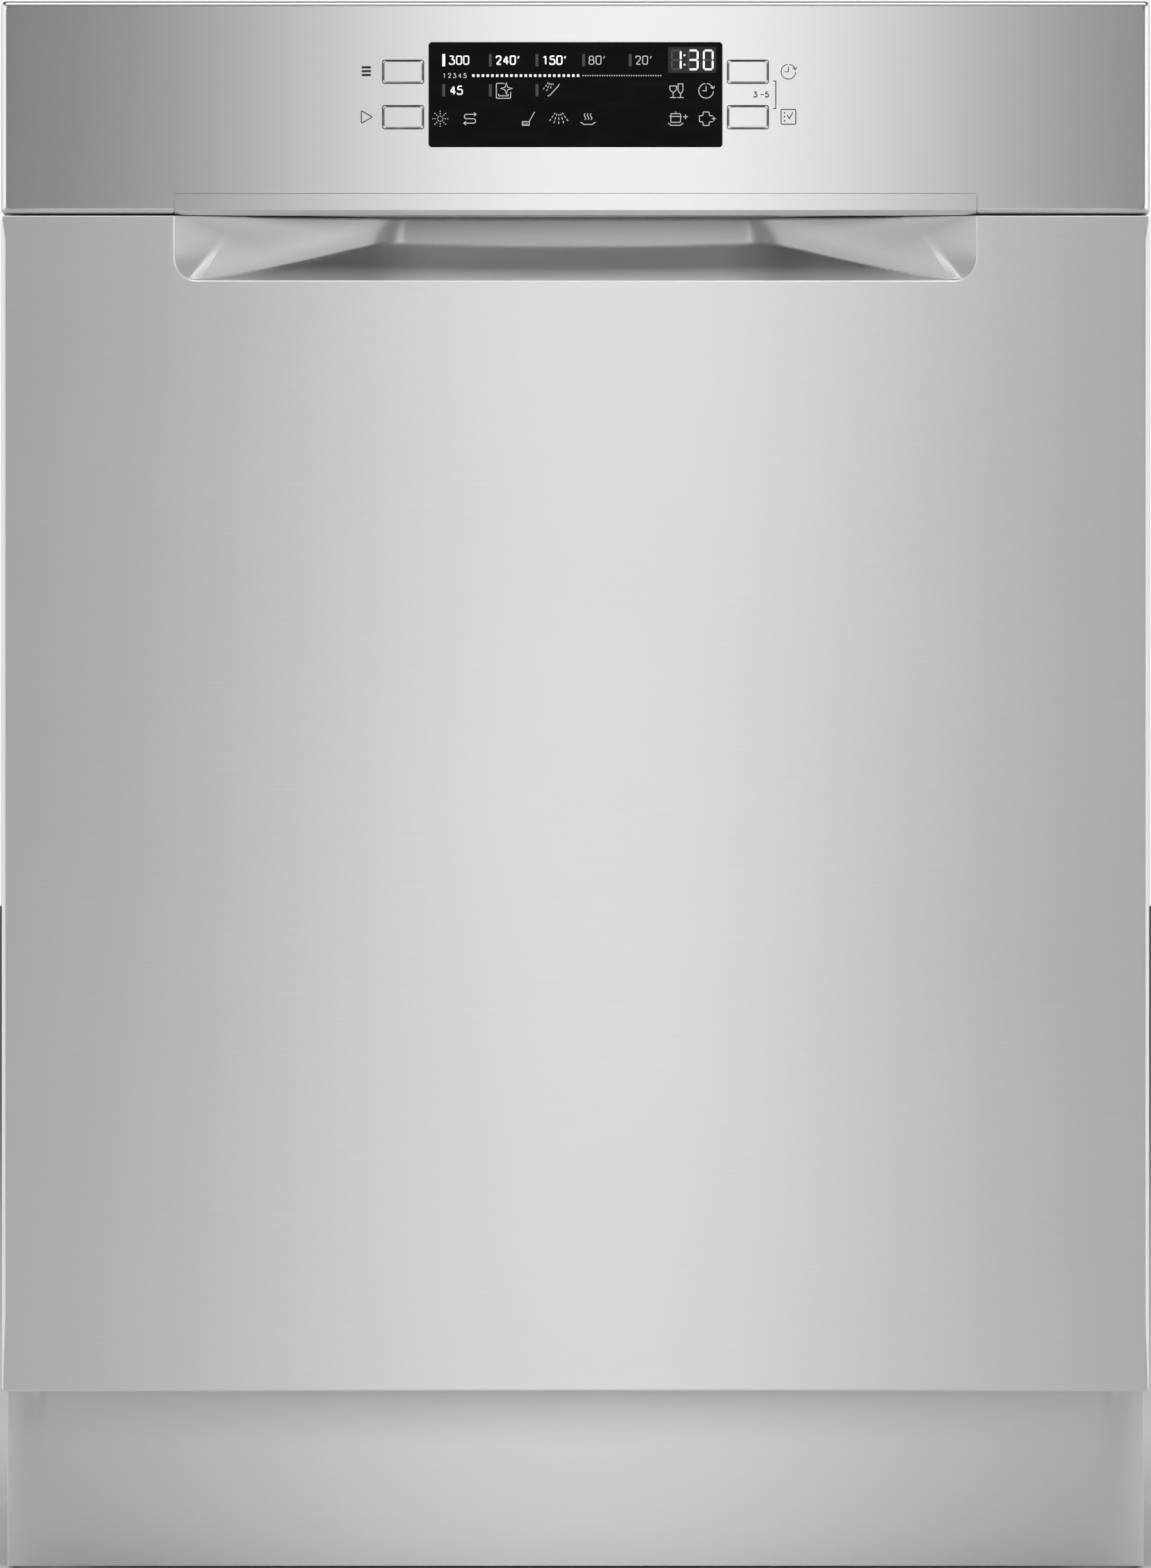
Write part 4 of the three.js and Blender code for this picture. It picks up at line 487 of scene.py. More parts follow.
@dataclass(frozen=True)
class Finish:
    """A surface finish: its name, the record's slot, its colour and its roughness."""

    name: str
    slot: str
    colour: Triple
    roughness: float

    def material(self) -> bpy.types.Material:
        """The material of this finish, drawn the first time it is asked for.

        Returns:
            The material, shared by every piece of this finish.
        """
        found = bpy.data.materials.get(self.name)
        if found:
            return found
        sketch = NodeSketch(self.name)
        self.paint(sketch)
        return sketch.material

    def paint(self, sketch: NodeSketch) -> None:
        """Draws the finish's nodes into a sketch."""
        raise NotImplementedError


class Grain(Enum):
    """The way a steel is brushed: how its streaks stretch along X, Y and Z, and the line its shine is drawn out on."""

    SIDEWAYS = ((0.02, 1.0, 1.0), (0.03, 0.05, 1.0))
    DEEP = ((1.0, 0.02, 1.0), (0.05, 0.03, 1.0))


@dataclass(frozen=True)
class Steel(Finish):
    """Stainless steel, brushed in one direction: streaks in its colour, roughness and height, and a stretched shine."""

    grain: Grain = Grain.SIDEWAYS
    streak: float = 0.03
    fineness: float = 1500.0
    depth: float = 0.004 * MM
    stretch: float = 0.9
    # The darker colour that a steel takes as painted shade where the mesh's attribute asks for it.
    painted_shade_colour: Triple | None = None

    def paint(self, sketch: NodeSketch) -> None:
        """Fine noise stretched along the grain drives all three, and a slow cloud varies the shade. A steel with a
        second, darker colour takes it as painted shade where the mesh's attribute of painted shade is 1.

        Args:
            sketch: The sketch to draw into.
        """
        stretched, across = self.grain.value
        streaks = sketch.noise(sketch.place(stretched), self.fineness, 3.0)
        line = sketch.node("CombineXYZ", dict(enumerate(across))).outputs["Vector"]
        spaces = {"vector_type": "VECTOR", "convert_from": "OBJECT", "convert_to": "WORLD"}
        tangent = sketch.node("VectorTransform", {"Vector": line}, **spaces).outputs["Vector"]
        shade = sketch.span(sketch.mean(streaks, sketch.noise(sketch.place(), 5.0)), 0.0, 1.0)
        colour = sketch.tint(shade, self.colour, self.streak)
        # Painted shade: the colour turns to the darker one where the mesh's attribute is 1, standing in for the shade
        # deep in the handle pocket.
        if self.painted_shade_colour:
            share = sketch.node("Attribute", {}, attribute_name="painted_shade").outputs["Fac"]
            colour = sketch.mix(share, colour, sketch.tint(shade, self.painted_shade_colour, self.streak))
        rough = [self.roughness * (1 - self.streak), self.roughness * (1 + self.streak)]
        sketch.surface({
            "Metallic": 1.0,
            "Base Color": colour,
            "Roughness": sketch.span(streaks, *rough),
            "Anisotropic": self.stretch,
            "Tangent": tangent,
            "Normal": sketch.bump(streaks, self.depth),
        })


@dataclass(frozen=True)
class Galvanised(Finish):
    """Zinc-coated sheet: crystals of slightly different grey with a soft shine."""

    def paint(self, sketch: NodeSketch) -> None:
        """Two sizes of crystal cells vary the shade and the roughness, and a fine noise makes the bump.

        Args:
            sketch: The sketch to draw into.
        """
        place = sketch.place()
        share = sketch.mean(sketch.cells(place, 70.0), sketch.cells(place, 190.0))
        sketch.surface({
            "Metallic": 1.0,
            "Base Color": sketch.tint(share, self.colour, 0.07),
            "Roughness": sketch.span(share, self.roughness * 0.85, self.roughness * 1.15),
            "Normal": sketch.bump(sketch.noise(place, 900.0), 0.01 * MM),
        })


@dataclass(frozen=True)
class Moulding(Finish):
    """Moulded plastic, rubber or paint: a fine grain of its own size, with faint clouds in its shade."""

    grain_size: float = 0.5 * MM
    grain_depth: float = 0.02 * MM
    sheen: float = 0.0
    clouds: float = 0.05

    def paint(self, sketch: NodeSketch) -> None:
        """Noise at the grain's size drives the bump and roughness, and a slow noise drives the shade.

        Args:
            sketch: The sketch to draw into.
        """
        place = sketch.place()
        grain = sketch.noise(place, 1 / self.grain_size, 3.0)
        sketch.surface({
            "Base Color": sketch.tint(sketch.noise(place, 12.0, 4.0), self.colour, self.clouds),
            "Roughness": sketch.span(grain, self.roughness * 0.9, min(1.0, self.roughness * 1.1)),
            "Sheen Weight": self.sheen,
            "Normal": sketch.bump(grain, self.grain_depth),
        })


@dataclass(frozen=True)
class Glass(Finish):
    """A black glossy window with faint wiping marks."""

    shine: float = 0.06

    def paint(self, sketch: NodeSketch) -> None:
        """A slow stretched noise varies the shade and the roughness of the gloss.

        Args:
            sketch: The sketch to draw into.
        """
        smear = sketch.noise(sketch.place((8.0, 8.0, 30.0)), 6.0, 3.0)
        sketch.surface({
            "Base Color": sketch.tint(smear, self.colour, 0.08),
            "Roughness": sketch.span(smear, self.roughness * 0.7, self.roughness * 1.4),
            "Specular IOR Level": self.shine,
        })


@dataclass(frozen=True)
class Glow(Finish):
    """A mark behind the window that gives its own light, a little uneven over its width: the lit marks, and as painted
    light also the faint marks that are off.
    """

    strength: float = 1.0

    def paint(self, sketch: NodeSketch) -> None:
        """A fine noise varies the colour of the light.

        Args:
            sketch: The sketch to draw into.
        """
        shade = sketch.tint(sketch.noise(sketch.place(), 900.0), self.colour, 0.08)
        sketch.surface({
            "Base Color": shade,
            "Roughness": self.roughness,
            "Emission Color": shade,
            "Emission Strength": self.strength,
        })


class Finishes:
    """Every finish on the machine: its name, its slot, its colour, its roughness and what is its own."""

    # The door's second, darker colour is painted shade for the back wall and the floor's ends inside the handle pocket.
    DOOR = Steel(
        "door_steel", "brushed_steel", (0.86, 0.855, 0.85), 0.34,
        streak=0.035, stretch=1.0, painted_shade_colour=(0.54, 0.535, 0.53),
    )
    PANEL = Steel(
        "fascia_steel", "panel_steel", (0.68, 0.675, 0.67), 0.25,
        streak=0.006, depth=0.0001 * MM, stretch=0.85,
    )
    TUB = Steel(
        "tub_lining", "tub_steel", (0.84, 0.845, 0.85), 0.32,
        Grain.DEEP, streak=0.02, fineness=700.0, depth=0.001 * MM, stretch=0.4,
    )
    PLINTH = Steel(
        "plinth_steel", "plinth_grey", (0.97, 0.965, 0.96), 0.36,
        streak=0.01, fineness=1200.0, depth=0.0002 * MM, stretch=1.0,
    )
    ZINC = Galvanised("zinc_coat", "zinc_sheet", (0.60, 0.62, 0.63), 0.46)
    WINDOW = Glass("window_glass", "black_glass", (0.004, 0.0043, 0.005), 0.25)
    RUBBER = Moulding("black_rubber", "seal_rubber", (0.02, 0.021, 0.022), 0.72, 0.4 * MM, 0.03 * MM, 0.15)
    GREY = Moulding("grey_moulding", "grey_plastic", (0.27, 0.29, 0.31), 0.42)
    DARK = Moulding("dark_moulding", "dark_plastic", (0.035, 0.037, 0.04), 0.5, 0.7 * MM, 0.05 * MM)
    WHITE = Moulding("white_moulding", "white_plastic", (0.78, 0.79, 0.78), 0.4)
    WIRE = Moulding("wire_coating", "coated_wire", (0.42, 0.45, 0.48), 0.38, 0.8 * MM, 0.015 * MM)
    INK = Moulding("printed_ink", "panel_steel", (0.012, 0.012, 0.013), 0.45, 0.2 * MM, 0.002 * MM)
    # Painted shadow: a dark ribbon laid over the gap round each button.
    GROOVE_SHADOW = Moulding("groove_shadow", "panel_steel", (0.03, 0.03, 0.03), 0.8, 0.3 * MM, 0.01 * MM)
    LIT = Glow("lit_mark", "black_glass", (0.86, 0.87, 0.88), 0.5, 0.75)
    DIM = Glow("dim_mark", "black_glass", (0.50, 0.52, 0.54), 0.5, 0.42)
    # Painted light: the marks that are off and the cell panel behind the clock give a faint glow of their own.
    GHOST = Glow("unlit_mark", "black_glass", (0.05, 0.053, 0.057), 0.5, 0.35)
    GHOST_PANEL = Glow("cell_panel", "black_glass", (0.012, 0.0135, 0.0145), 0.4, 0.2)


# ---------------------------------------------------------------- door front


def smooth_least(a: Array, b: Array, radius: float) -> Array:
    """The smaller of two values, with the corner between them rounded over a radius."""
    return np.minimum(a, b) - np.clip(radius - np.abs(a - b), 0, None) ** 2 / (4 * radius)


def ramp(value: Array, low: float, high: float) -> Array:
    """Grows evenly from 0 to 1 as the value goes from low to high, and stays there."""
    return np.clip((value - low) / (high - low), 0, 1)


@dataclass(frozen=True)
class DoorFront:
    """The door's pressed outer sheet with the handle pocket pressed into it.

    The pocket's mouth is a rectangle open to the sheet's top edge. Inside the creases stand its flat back wall and
    its scooped floor, and outside them a wing climbs from the back wall to each end, with one slanting fold.
    """

    half_width: float = 298 * MM
    bottom: float = 96 * MM
    top: float = 706.6 * MM
    face: float = -288 * MM
    flange: float = 30 * MM
    side_radius: float = 2.6 * MM
    foot_radius: float = 1.2 * MM
    seam_radius: float = 0.8 * MM
    corner: float = 2 * MM
    sheet: float = 0.7 * MM
    mouth_half: float = 208 * MM
    mouth_floor: float = 673 * MM
    mouth_corner: float = 12 * MM
    lip: float = 1.0 * MM
    crease: float = 99.5 * MM
    back_depth: float = 29.4 * MM
    scoop_rise: float = 18.6 * MM
    scoop_power: float = 1.6
    scoop_growth: float = 0.12
    scoop_growth_end: float = 1.2
    wall_round: float = 2.4 * MM
    floor_round: float = 0.8 * MM
    wing_slope: float = 0.248
    fold_step: float = 2.4 * MM
    fold_ease: float = 2.8 * MM
    hem: float = 3 * MM
    pocket_rows: int = 40
    lip_rows: int = 6
    border_rows: int = 7
    mouth_columns: int = 160

    def depth(self, x: Array, z: Array) -> Array:
        """How deep the pocket is behind its lip: the smooth least of its wings, its scooped floor and its flat back
        wall. A wing is a slope with a soft step across it along a slanting line. The floor is a root of the height
        over the mouth's lower edge, and it takes longer to rise the nearer it is to a crease.

        Args:
            x: Places across.
            z: Places up.

        Returns:
            Depths in metres, of the same shape.
        """
        side = np.abs(x)
        share = np.minimum(side / self.crease, self.scoop_growth_end)
        rise = self.scoop_rise * (1 + self.scoop_growth * share**2)
        floor = self.back_depth * (np.clip(z - self.mouth_floor, 0, None) / rise) ** (1 / self.scoop_power)
        foot = np.array([self.mouth_half - self.mouth_corner, self.mouth_floor])
        head = np.array([self.crease, self.top])
        run = (foot - head) / np.linalg.norm(foot - head)
        beyond = (side - head[0]) * run[1] - (z - head[1]) * run[0]
        fold = self.fold_step / (1 + np.exp(-beyond / self.fold_ease))
        wing = self.wing_slope * (self.mouth_half - side) + fold
        return smooth_least(smooth_least(wing, self.back_depth, self.wall_round), floor, self.floor_round)

    def columns(self) -> tuple[Array, Array]:
        """Where the columns of the sheet leave the pocket's mouth and where they reach the sheet's border. They are
        crowded at the corners, and none crosses the one before it.

        Returns:
            Distances along the left half of the mouth and of the border, from the top.
        """
        side = self.top - self.mouth_floor - self.mouth_corner
        arc = self.mouth_corner * math.pi / 2
        across = self.half_width - self.mouth_half - self.lip
        down = self.top - self.bottom
        stations = [
            (2, 1.0 * MM, 2 * self.lip),
            (4, 1.4 * MM, across - self.corner),
            (6, 2.0 * MM, across + self.corner),
            (6, side, across + 0.1 * down),
            (14, side + arc, across + down - self.corner),
            (6, side + arc + 0.2 * MM, across + down + self.corner),
            (self.mouth_columns, side + arc + self.mouth_half - self.mouth_corner, across + down + self.half_width),
        ]
        mouth, border = [np.zeros(1)], [np.zeros(1)]
        for count, mouth_end, border_end in stations:
            mouth.append(np.linspace(mouth[-1][-1], mouth_end, count + 1)[1:])
            border.append(np.linspace(border[-1][-1], border_end, count + 1)[1:])
        return np.concatenate(mouth), np.concatenate(border)

    def mouth_line(self, distance: Array) -> tuple[Array, Array]:
        """Points on the left half of the mouth's outline and the directions out of the pocket.

        Args:
            distance: Distances from the outline's top.

        Returns:
            Points (x, z) and unit directions (x, z).
        """
        side = self.top - self.mouth_floor - self.mouth_corner
        turn = np.clip((distance - side) / self.mouth_corner, 0, math.pi / 2)
        down = np.clip(distance, 0, side)
        along = np.clip(distance - side - self.mouth_corner * math.pi / 2, 0, None)
        x = -self.mouth_half + self.mouth_corner * (1 - np.cos(turn)) + along
        z = self.top - down - self.mouth_corner * np.sin(turn)
        return np.stack([x, z], -1), np.stack([-np.cos(turn), -np.sin(turn)], -1)

    def border_line(self, distance: Array) -> tuple[Array, Array, Array]:
        """Points on the left half of the sheet's border, the directions out of it and its rounding there.

        Args:
            distance: Distances from the border's inner end at the top.

        Returns:
            Points (x, z), unit directions (x, z) and radii.
        """
        w, low, high = self.half_width, self.bottom, self.top
        corners = np.array([[-self.mouth_half - self.lip, high], [-w, high], [-w, low], [0, low]])
        line = rounded_line(corners, self.corner, 12)
        length = np.concatenate([[0], np.cumsum(np.linalg.norm(np.diff(line, axis=0), axis=1))])
        share = distance / distance[-1] * length[-1]
        points = np.stack([np.interp(share, length, line[:, k]) for k in (0, 1)], -1)
        along = np.gradient(line, axis=0)
        along /= np.linalg.norm(along, axis=1, keepdims=True)
        out = np.stack([np.interp(share, length, k) for k in (along[:, 1], -along[:, 0])], -1)
        out /= np.linalg.norm(out, axis=1, keepdims=True)
        top_corner, foot_corner = w - self.mouth_half + self.corner, length[-1] - w - 2 * self.corner
        knots = [0, 2 * self.lip, top_corner, top_corner + 3 * self.corner, foot_corner - 9 * self.corner, foot_corner]
        radii = [0.0, self.seam_radius, self.seam_radius, self.side_radius, self.side_radius, self.foot_radius]
        return points, out, np.interp(share, knots, radii)

    def skin(self) -> Skin:
        """The sheet as one grid. Its rows run from the pocket's top edge down its wall to the mouth, round the lip,
        over the flat face, round the border and back along the flange to a hem.

        Returns:
            The skin of the whole sheet, open at the back.
        """
        mouth_distance, border_distance = self.columns()
        mouth, out = self.mouth_line(mouth_distance)
        border, beyond, radius = self.border_line(border_distance)
        radius = radius[:, None]
        share = mouth_distance / mouth_distance[-1]
        top = np.stack([-self.mouth_half * (1 - share), 0 * share + self.top], -1)
        rows, depths = [], []
        for step in 1 - (1 - np.linspace(0, 1, self.pocket_rows)) ** 1.4:
            place = top * (1 - step) + mouth * step
            rows.append(place)
            left_over = self.depth(mouth[:, 0], mouth[:, 1]) * step**4
            depths.append(self.lip + self.depth(place[:, 0], place[:, 1]) - left_over)
        for turn in np.linspace(math.pi / 2, 0, self.lip_rows)[1:]:
            rows.append(mouth + out * self.lip * (1 - math.sin(turn)))
            depths.append(np.full(len(mouth), self.lip * (1 - math.cos(turn))))
        start, end = mouth + out * self.lip, border - beyond * radius
        reach = np.linalg.norm(end - start, axis=1, keepdims=True)
        hold = np.minimum(0.3 * MM, 0.2 * reach) / np.maximum(reach, 1e-9)
        for share in (hold, 0.25, 0.5, 0.75, 1 - hold, 1.0):
            rows.append(start + (end - start) * share)
            depths.append(np.zeros(len(mouth)))
        for turn in np.linspace(0, math.pi / 2, self.border_rows)[1:]:
            rows.append(border - beyond * radius * (1 - math.sin(turn)))
            depths.append(radius[:, 0] * (1 - math.cos(turn)))
        for share in (0.1, 1.0):
            rows.append(border)
            depths.append(radius[:, 0] + (self.flange - radius[:, 0]) * share)
        rows.append(border - beyond * self.hem)
        depths.append(np.full(len(mouth), self.flange))
        places, depth = np.stack(rows), np.stack(depths)
        grid = np.stack([places[..., 0], self.face + depth, places[..., 1]], -1)
        half = sheet_skin(grid[:, ::-1])
        return half + half.mirrored()

    def paint_shade(self, mesh: bpy.types.Mesh) -> None:
        """Paints shade on the sheet: covers the lower flange, the door's underside, with black rubber as painted shade,
        and says how much painted shade each place in the pocket takes: the flat back wall takes it, and so do the ends
        of the floor, more from the middle outwards.

        Args:
            mesh: The sheet's mesh, which gets a second material and the attribute that its steel reads.
        """
        mesh.materials.append(Finishes.RUBBER.material())
        centres = np.empty(len(mesh.polygons) * 3)
        mesh.polygons.foreach_get("center", centres)
        _, y, z = centres.reshape(-1, 3).T
        # Painted shade: the door's underside, its lower flange and hem, gets black rubber so that it looks dark as it
        # would in shade.
        underside_shade = (z < self.bottom + self.hem) & (y - self.face > 2 * self.foot_radius)
        mesh.polygons.foreach_set("material_index", underside_shade.astype(np.int32))
        places, normals = (np.empty(len(mesh.vertices) * 3) for _ in range(2))
        mesh.vertices.foreach_get("co", places)
        mesh.vertices.foreach_get("normal", normals)
        x, y, z = places.reshape(-1, 3).T
        facing, rising = np.abs(normals.reshape(-1, 3).T[1:])
        deep, side = y - self.face, np.abs(x)
        crease = self.crease
        # Painted shade: the pocket's back wall and the ends of its floor, where the recess is in shade, get the door
        # steel's darker colour.
        wall = ramp(side, crease - MM, crease - 12 * MM) * ramp(facing, 0.88, 0.98) * ramp(deep, 12 * MM, 15 * MM)
        ends = ramp(side, crease - 22 * MM, crease + 9 * MM) * ramp(rising, 0.3, 0.5) * ramp(deep, MM, 3 * MM)
        inside = (side < self.mouth_half) & (z > self.mouth_floor - MM) & (z <= self.top)
        painted_shade = mesh.attributes.new("painted_shade", "FLOAT", "POINT")
        painted_shade.data.foreach_set("value", np.maximum(wall, ends) * inside)

    def build(self) -> None:
        """Makes the sheet with its thickness behind its face, and hides the plain panel that it stands for."""
        made = piece("door_front", self.skin(), Finishes.DOOR, "door", 50)
        wall = made.modifiers.new("sheet", "SOLIDIFY")
        wall.thickness = self.sheet
        wall.offset = -1
        self.paint_shade(made.data)
        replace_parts(made, "door_panel")


# ---------------------------------------------------------------- control panel

# Marks are drawn in millimetres, as (x, z) about the middle of a sign or of the display.


def ribbon(points: Array, width: float = 0.44, closed: bool = False) -> Skin:
    """A flat stroke facing -Y: the line's points set off to both sides along the mean normal of the legs that meet
    there, by half the width over the cosine of half the turn.

    Args:
        points: Points (x, z) of the stroke's middle.
        width: The stroke's width.
        closed: Whether the stroke comes back to its start.

    Returns:
        The stroke in the plane y = 0.
    """
    p = np.asarray(points, float)
    legs = np.diff(np.vstack([p, p[:1]]), axis=0)
    legs /= np.maximum(np.linalg.norm(legs, axis=1, keepdims=True), 1e-9)
    before = np.roll(legs, 1, 0)
    if not closed:
        legs[-1], before[0] = legs[-2], legs[0]
    mean = legs + before
    mean /= np.maximum(np.linalg.norm(mean, axis=1, keepdims=True), 1e-9)
    reach = width / 2 / np.clip((mean * legs).sum(1, keepdims=True), 0.5, 1)
    side = np.stack([-mean[:, 1], mean[:, 0]], -1) * reach
    return flat(np.stack([p - side, p + side]), closed)


def flat(grid: Array, closed: bool = True) -> Skin:
    """A grid of points (x, z) as a skin in the plane y = 0."""
    return sheet_skin(np.stack([grid[..., 0], 0 * grid[..., 0], grid[..., 1]], -1), wrap_columns=closed)


def blob(outline: Array) -> Skin:
    """A filled outline facing -Y, as a fan from its middle, which has to see all of it."""
    p = np.asarray(outline, float)
    return flat(np.stack([p, np.repeat(p.mean(0)[None], len(p), 0)]))


def block(x: float, z: float, width: float, height: float) -> Skin:
    """A filled rectangle about a point."""
    return blob(box_outline(width / 2, height / 2, 0.02, 1) + np.array([x, z]))


def dot(x: float, z: float, radius: float) -> Skin:
    """A filled circle about a point."""
    return blob(arc(radius, 0, 330, 11) + np.array([x, z]))


def arc(radius: float, start: float, end: float, steps: int = 16) -> Array:
    """Points (x, z) on a circle from one angle in degrees to another, counter-clockwise from the right."""
    turn = np.radians(np.linspace(start, end, steps + 1))
    return radius * np.stack([np.cos(turn), np.sin(turn)], -1)


def plus(x: float, z: float, reach: float) -> list[Skin]:
    """A small plus sign about a point."""
    across, up = [(x - reach, z), (x + reach, z)], [(x, z - reach), (x, z + reach)]
    return [ribbon(across), ribbon(up)]


class Icon(Enum):
    """The generic signs on the panel, each with a method that draws its strokes about its own middle."""

    SUN = "sun"
    ARROWS = "arrows"
    BRUSH = "brush"
    SPRAY = "spray"
    STEAM = "steam"
    POT = "pot"
    CROSS = "cross"
    GLASSES = "glasses"
    CLOCK = "clock"
    STAR = "star"
    ANGLED_SPRAY = "angled_spray"
    CHECK = "check"
    PLAY = "play"
    MENU = "menu"

    def skins(self) -> list[Skin]:
        """The strokes and dots of this sign."""
        return getattr(self, f"draw_{self.value}")()

    def draw_sun(self) -> list[Skin]:
        """Eight rays of three dots."""
        rings = [arc(radius, 0, 315, 7) for radius in (1.4, 2.65, 3.9)]
        return [dot(x, z, 0.3) for ring in rings for x, z in ring]

    def draw_arrows(self) -> list[Skin]:
        """A double bend with an arrow head at each end.

        Returns:
            The strokes.
        """
        bend = rounded_line(np.array([(3, 2.3), (-2.9, 2.3), (-2.9, 0), (2.9, 0), (2.9, -2.3), (-3, -2.3)]), 1.15, 6)
        head = np.array([(2.1, 3.2), (3.2, 2.3), (2.1, 1.4)])
        return [ribbon(bend), ribbon(head), ribbon(-head)]

    def draw_brush(self) -> list[Skin]:
        """A long handle on a head with bristles.

        Returns:
            The strokes.
        """
        head = np.array([(-3.4, -1.5), (0.2, -1.5), (0.2, -3.4), (-3.4, -3.4)])[::-1]
        bristles = [ribbon([(x, -3.3), (x, -2.2)], 0.25) for x in (-2.7, -2.0, -1.3, -0.6)]
        return [ribbon([(0.1, -1.5), (3.0, 3.6)]), ribbon(head, closed=True), *bristles]

    def draw_spray(self) -> list[Skin]:
        """Five rays of three dashes that spread downwards.

        Returns:
            The strokes.
        """
        rays = [np.array([math.sin(a), -math.cos(a)]) for a in np.linspace(-0.62, 0.62, 5)]
        spans = ((3.2, 4.1), (5.0, 6.2), (7.1, 8.3))
        return [ribbon([ray * a + (0, 5.6), ray * b + (0, 5.6)]) for ray in rays for a, b in spans]

    def draw_steam(self) -> list[Skin]:
        """Three wavy lines over a dish.

        Returns:
            The strokes.
        """
        rise = np.linspace(0, 1, 9)
        wave = np.stack([0.38 * np.sin(2 * math.pi * rise), 3.4 * rise - 0.6], -1)
        return [ribbon(wave + np.array([x, 0])) for x in (-1.6, 0, 1.6)] + [self.dish(0, -1.9, 3.9)]

    def draw_pot(self) -> list[Skin]:
        """A pot with a lid on a dish, and a plus sign.

        Returns:
            The strokes.
        """
        pot = box_outline(2.5, 2.25, 0.4, 2) + np.array([-0.8, 0.4])
        lid = ribbon([(-4.0, 1.15), (2.3, 1.15)])
        dish = self.dish(-0.8, -2.4, 4.0)
        return [ribbon(pot, closed=True), lid, dot(-0.8, 3.5, 0.28), dish, *plus(4.3, 1.0, 1.2)]

    def draw_cross(self) -> list[Skin]:
        """The outline of a cross with a plus sign beside it.

        Returns:
            The strokes.
        """
        a, b = 1.6, 3.5
        upper = np.array([(b, a), (a, a), (a, b), (-a, b), (-a, a), (-b, a)])
        return [ribbon(rounded_line(np.concatenate([upper, -upper]), 0.5, 3)), *plus(4.0, 0, 1.1)]

    def draw_glasses(self) -> list[Skin]:
        """A round glass and a tall one, each on a stem and a foot.

        Returns:
            The strokes.
        """
        drawn = []
        for x, half, top, low in ((-1.9, 1.75, 2.5, -0.9), (1.9, 1.25, 3.6, -1.5)):
            bowl = [(-half, top), (-half, low + 1.4), (-0.1, low), (0.1, low), (half, low + 1.4), (half, top)]
            drawn.append(ribbon(rounded_line(np.array(bowl) + np.array([x, 0]), 0.9, 4), closed=True))
            drawn += [ribbon([(x, low), (x, -3.4)]), ribbon([(x - 1.6, -3.5), (x + 1.6, -3.5)])]
        return drawn

    def draw_clock(self) -> list[Skin]:
        """Two hands in a circle with an arrow head in its gap."""
        hands, head = [(-2.0, 0), (0, 0), (0, 2.6)], np.array([(2.3, 1.9), (3.6, 1.1), (4.4, 2.4)])
        return [ribbon(arc(3.8, 96, 356, 28)), ribbon(arc(3.8, 24, 84, 8)), ribbon(hands), ribbon(head)]

    def draw_star(self) -> list[Skin]:
        """A four-pointed star over the open corner of a square with a tray in it.

        Returns:
            The strokes.
        """
        square = rounded_line(np.array([(0.6, 3.9), (-3.7, 3.9), (-3.7, -3.9), (3.7, -3.9), (3.7, -0.6)]), 0.6, 3)
        tray = [(-2.5, -1.6), (-2.5, -2.6), (2.5, -2.6), (2.5, -1.6)]
        points = np.where(np.arange(8)[:, None] % 2 == 0, arc(3.0, 90, 405, 7), arc(0.95, 90, 405, 7))
        return [ribbon(square), ribbon(tray), ribbon(points + np.array([1.5, 1.2]), closed=True)]

    def draw_angled_spray(self) -> list[Skin]:
        """Dashes that spread down on to a leaning plate.

        Returns:
            The strokes.
        """
        plate = [(4.4, 3.4), (3.9, 2.3), (-0.6, -2.6), (-1.7, -2.9)]
        rays = [np.array([math.sin(a), -math.cos(a)]) for a in (-0.62, -0.36, -0.08, 0.22)]
        spans, counts = ((3.0, 3.9), (4.6, 5.6), (6.4, 7.4)), (3, 3, 2, 1)
        cuts = [(ray, a, b) for ray, count in zip(rays, counts) for a, b in spans[:count]]
        return [ribbon(plate)] + [ribbon([ray * a + (0.4, 6.6), ray * b + (0.4, 6.6)]) for ray, a, b in cuts]

    def draw_check(self) -> list[Skin]:
        """A square with three dots and a tick."""
        square, tick = box_outline(3.8, 3.8, 0.5, 3), [(-0.7, 1.0), (0.5, -0.9), (2.3, 2.3)]
        return [ribbon(square, 0.5, True), ribbon(tick, 0.5)] + [dot(-2.0, z, 0.42) for z in (-2.1, 0, 2.1)]

    def draw_play(self) -> list[Skin]:
        """A triangle that points to the right."""
        corners = np.array([(-2.8, 3.3), (-2.8, -3.3), (3.0, 0)])
        return [ribbon(rounded_line(corners, 0.7, 3, True), 0.5, True)]

    def draw_menu(self) -> list[Skin]:
        """Three bars under each other."""
        return [block(0, z, 4.8, 1.15) for z in (-2.0, 0, 2.0)]

    def dish(self, x: float, z: float, half: float) -> Skin:
        """A shallow dish about a point."""
        line = [(-half, 0), (0.7 - half, -0.1), (1.5 - half, -1), (half - 1.5, -1), (half - 0.7, -0.1), (half, 0)]
        return ribbon(np.array(line) + np.array([x, z]))


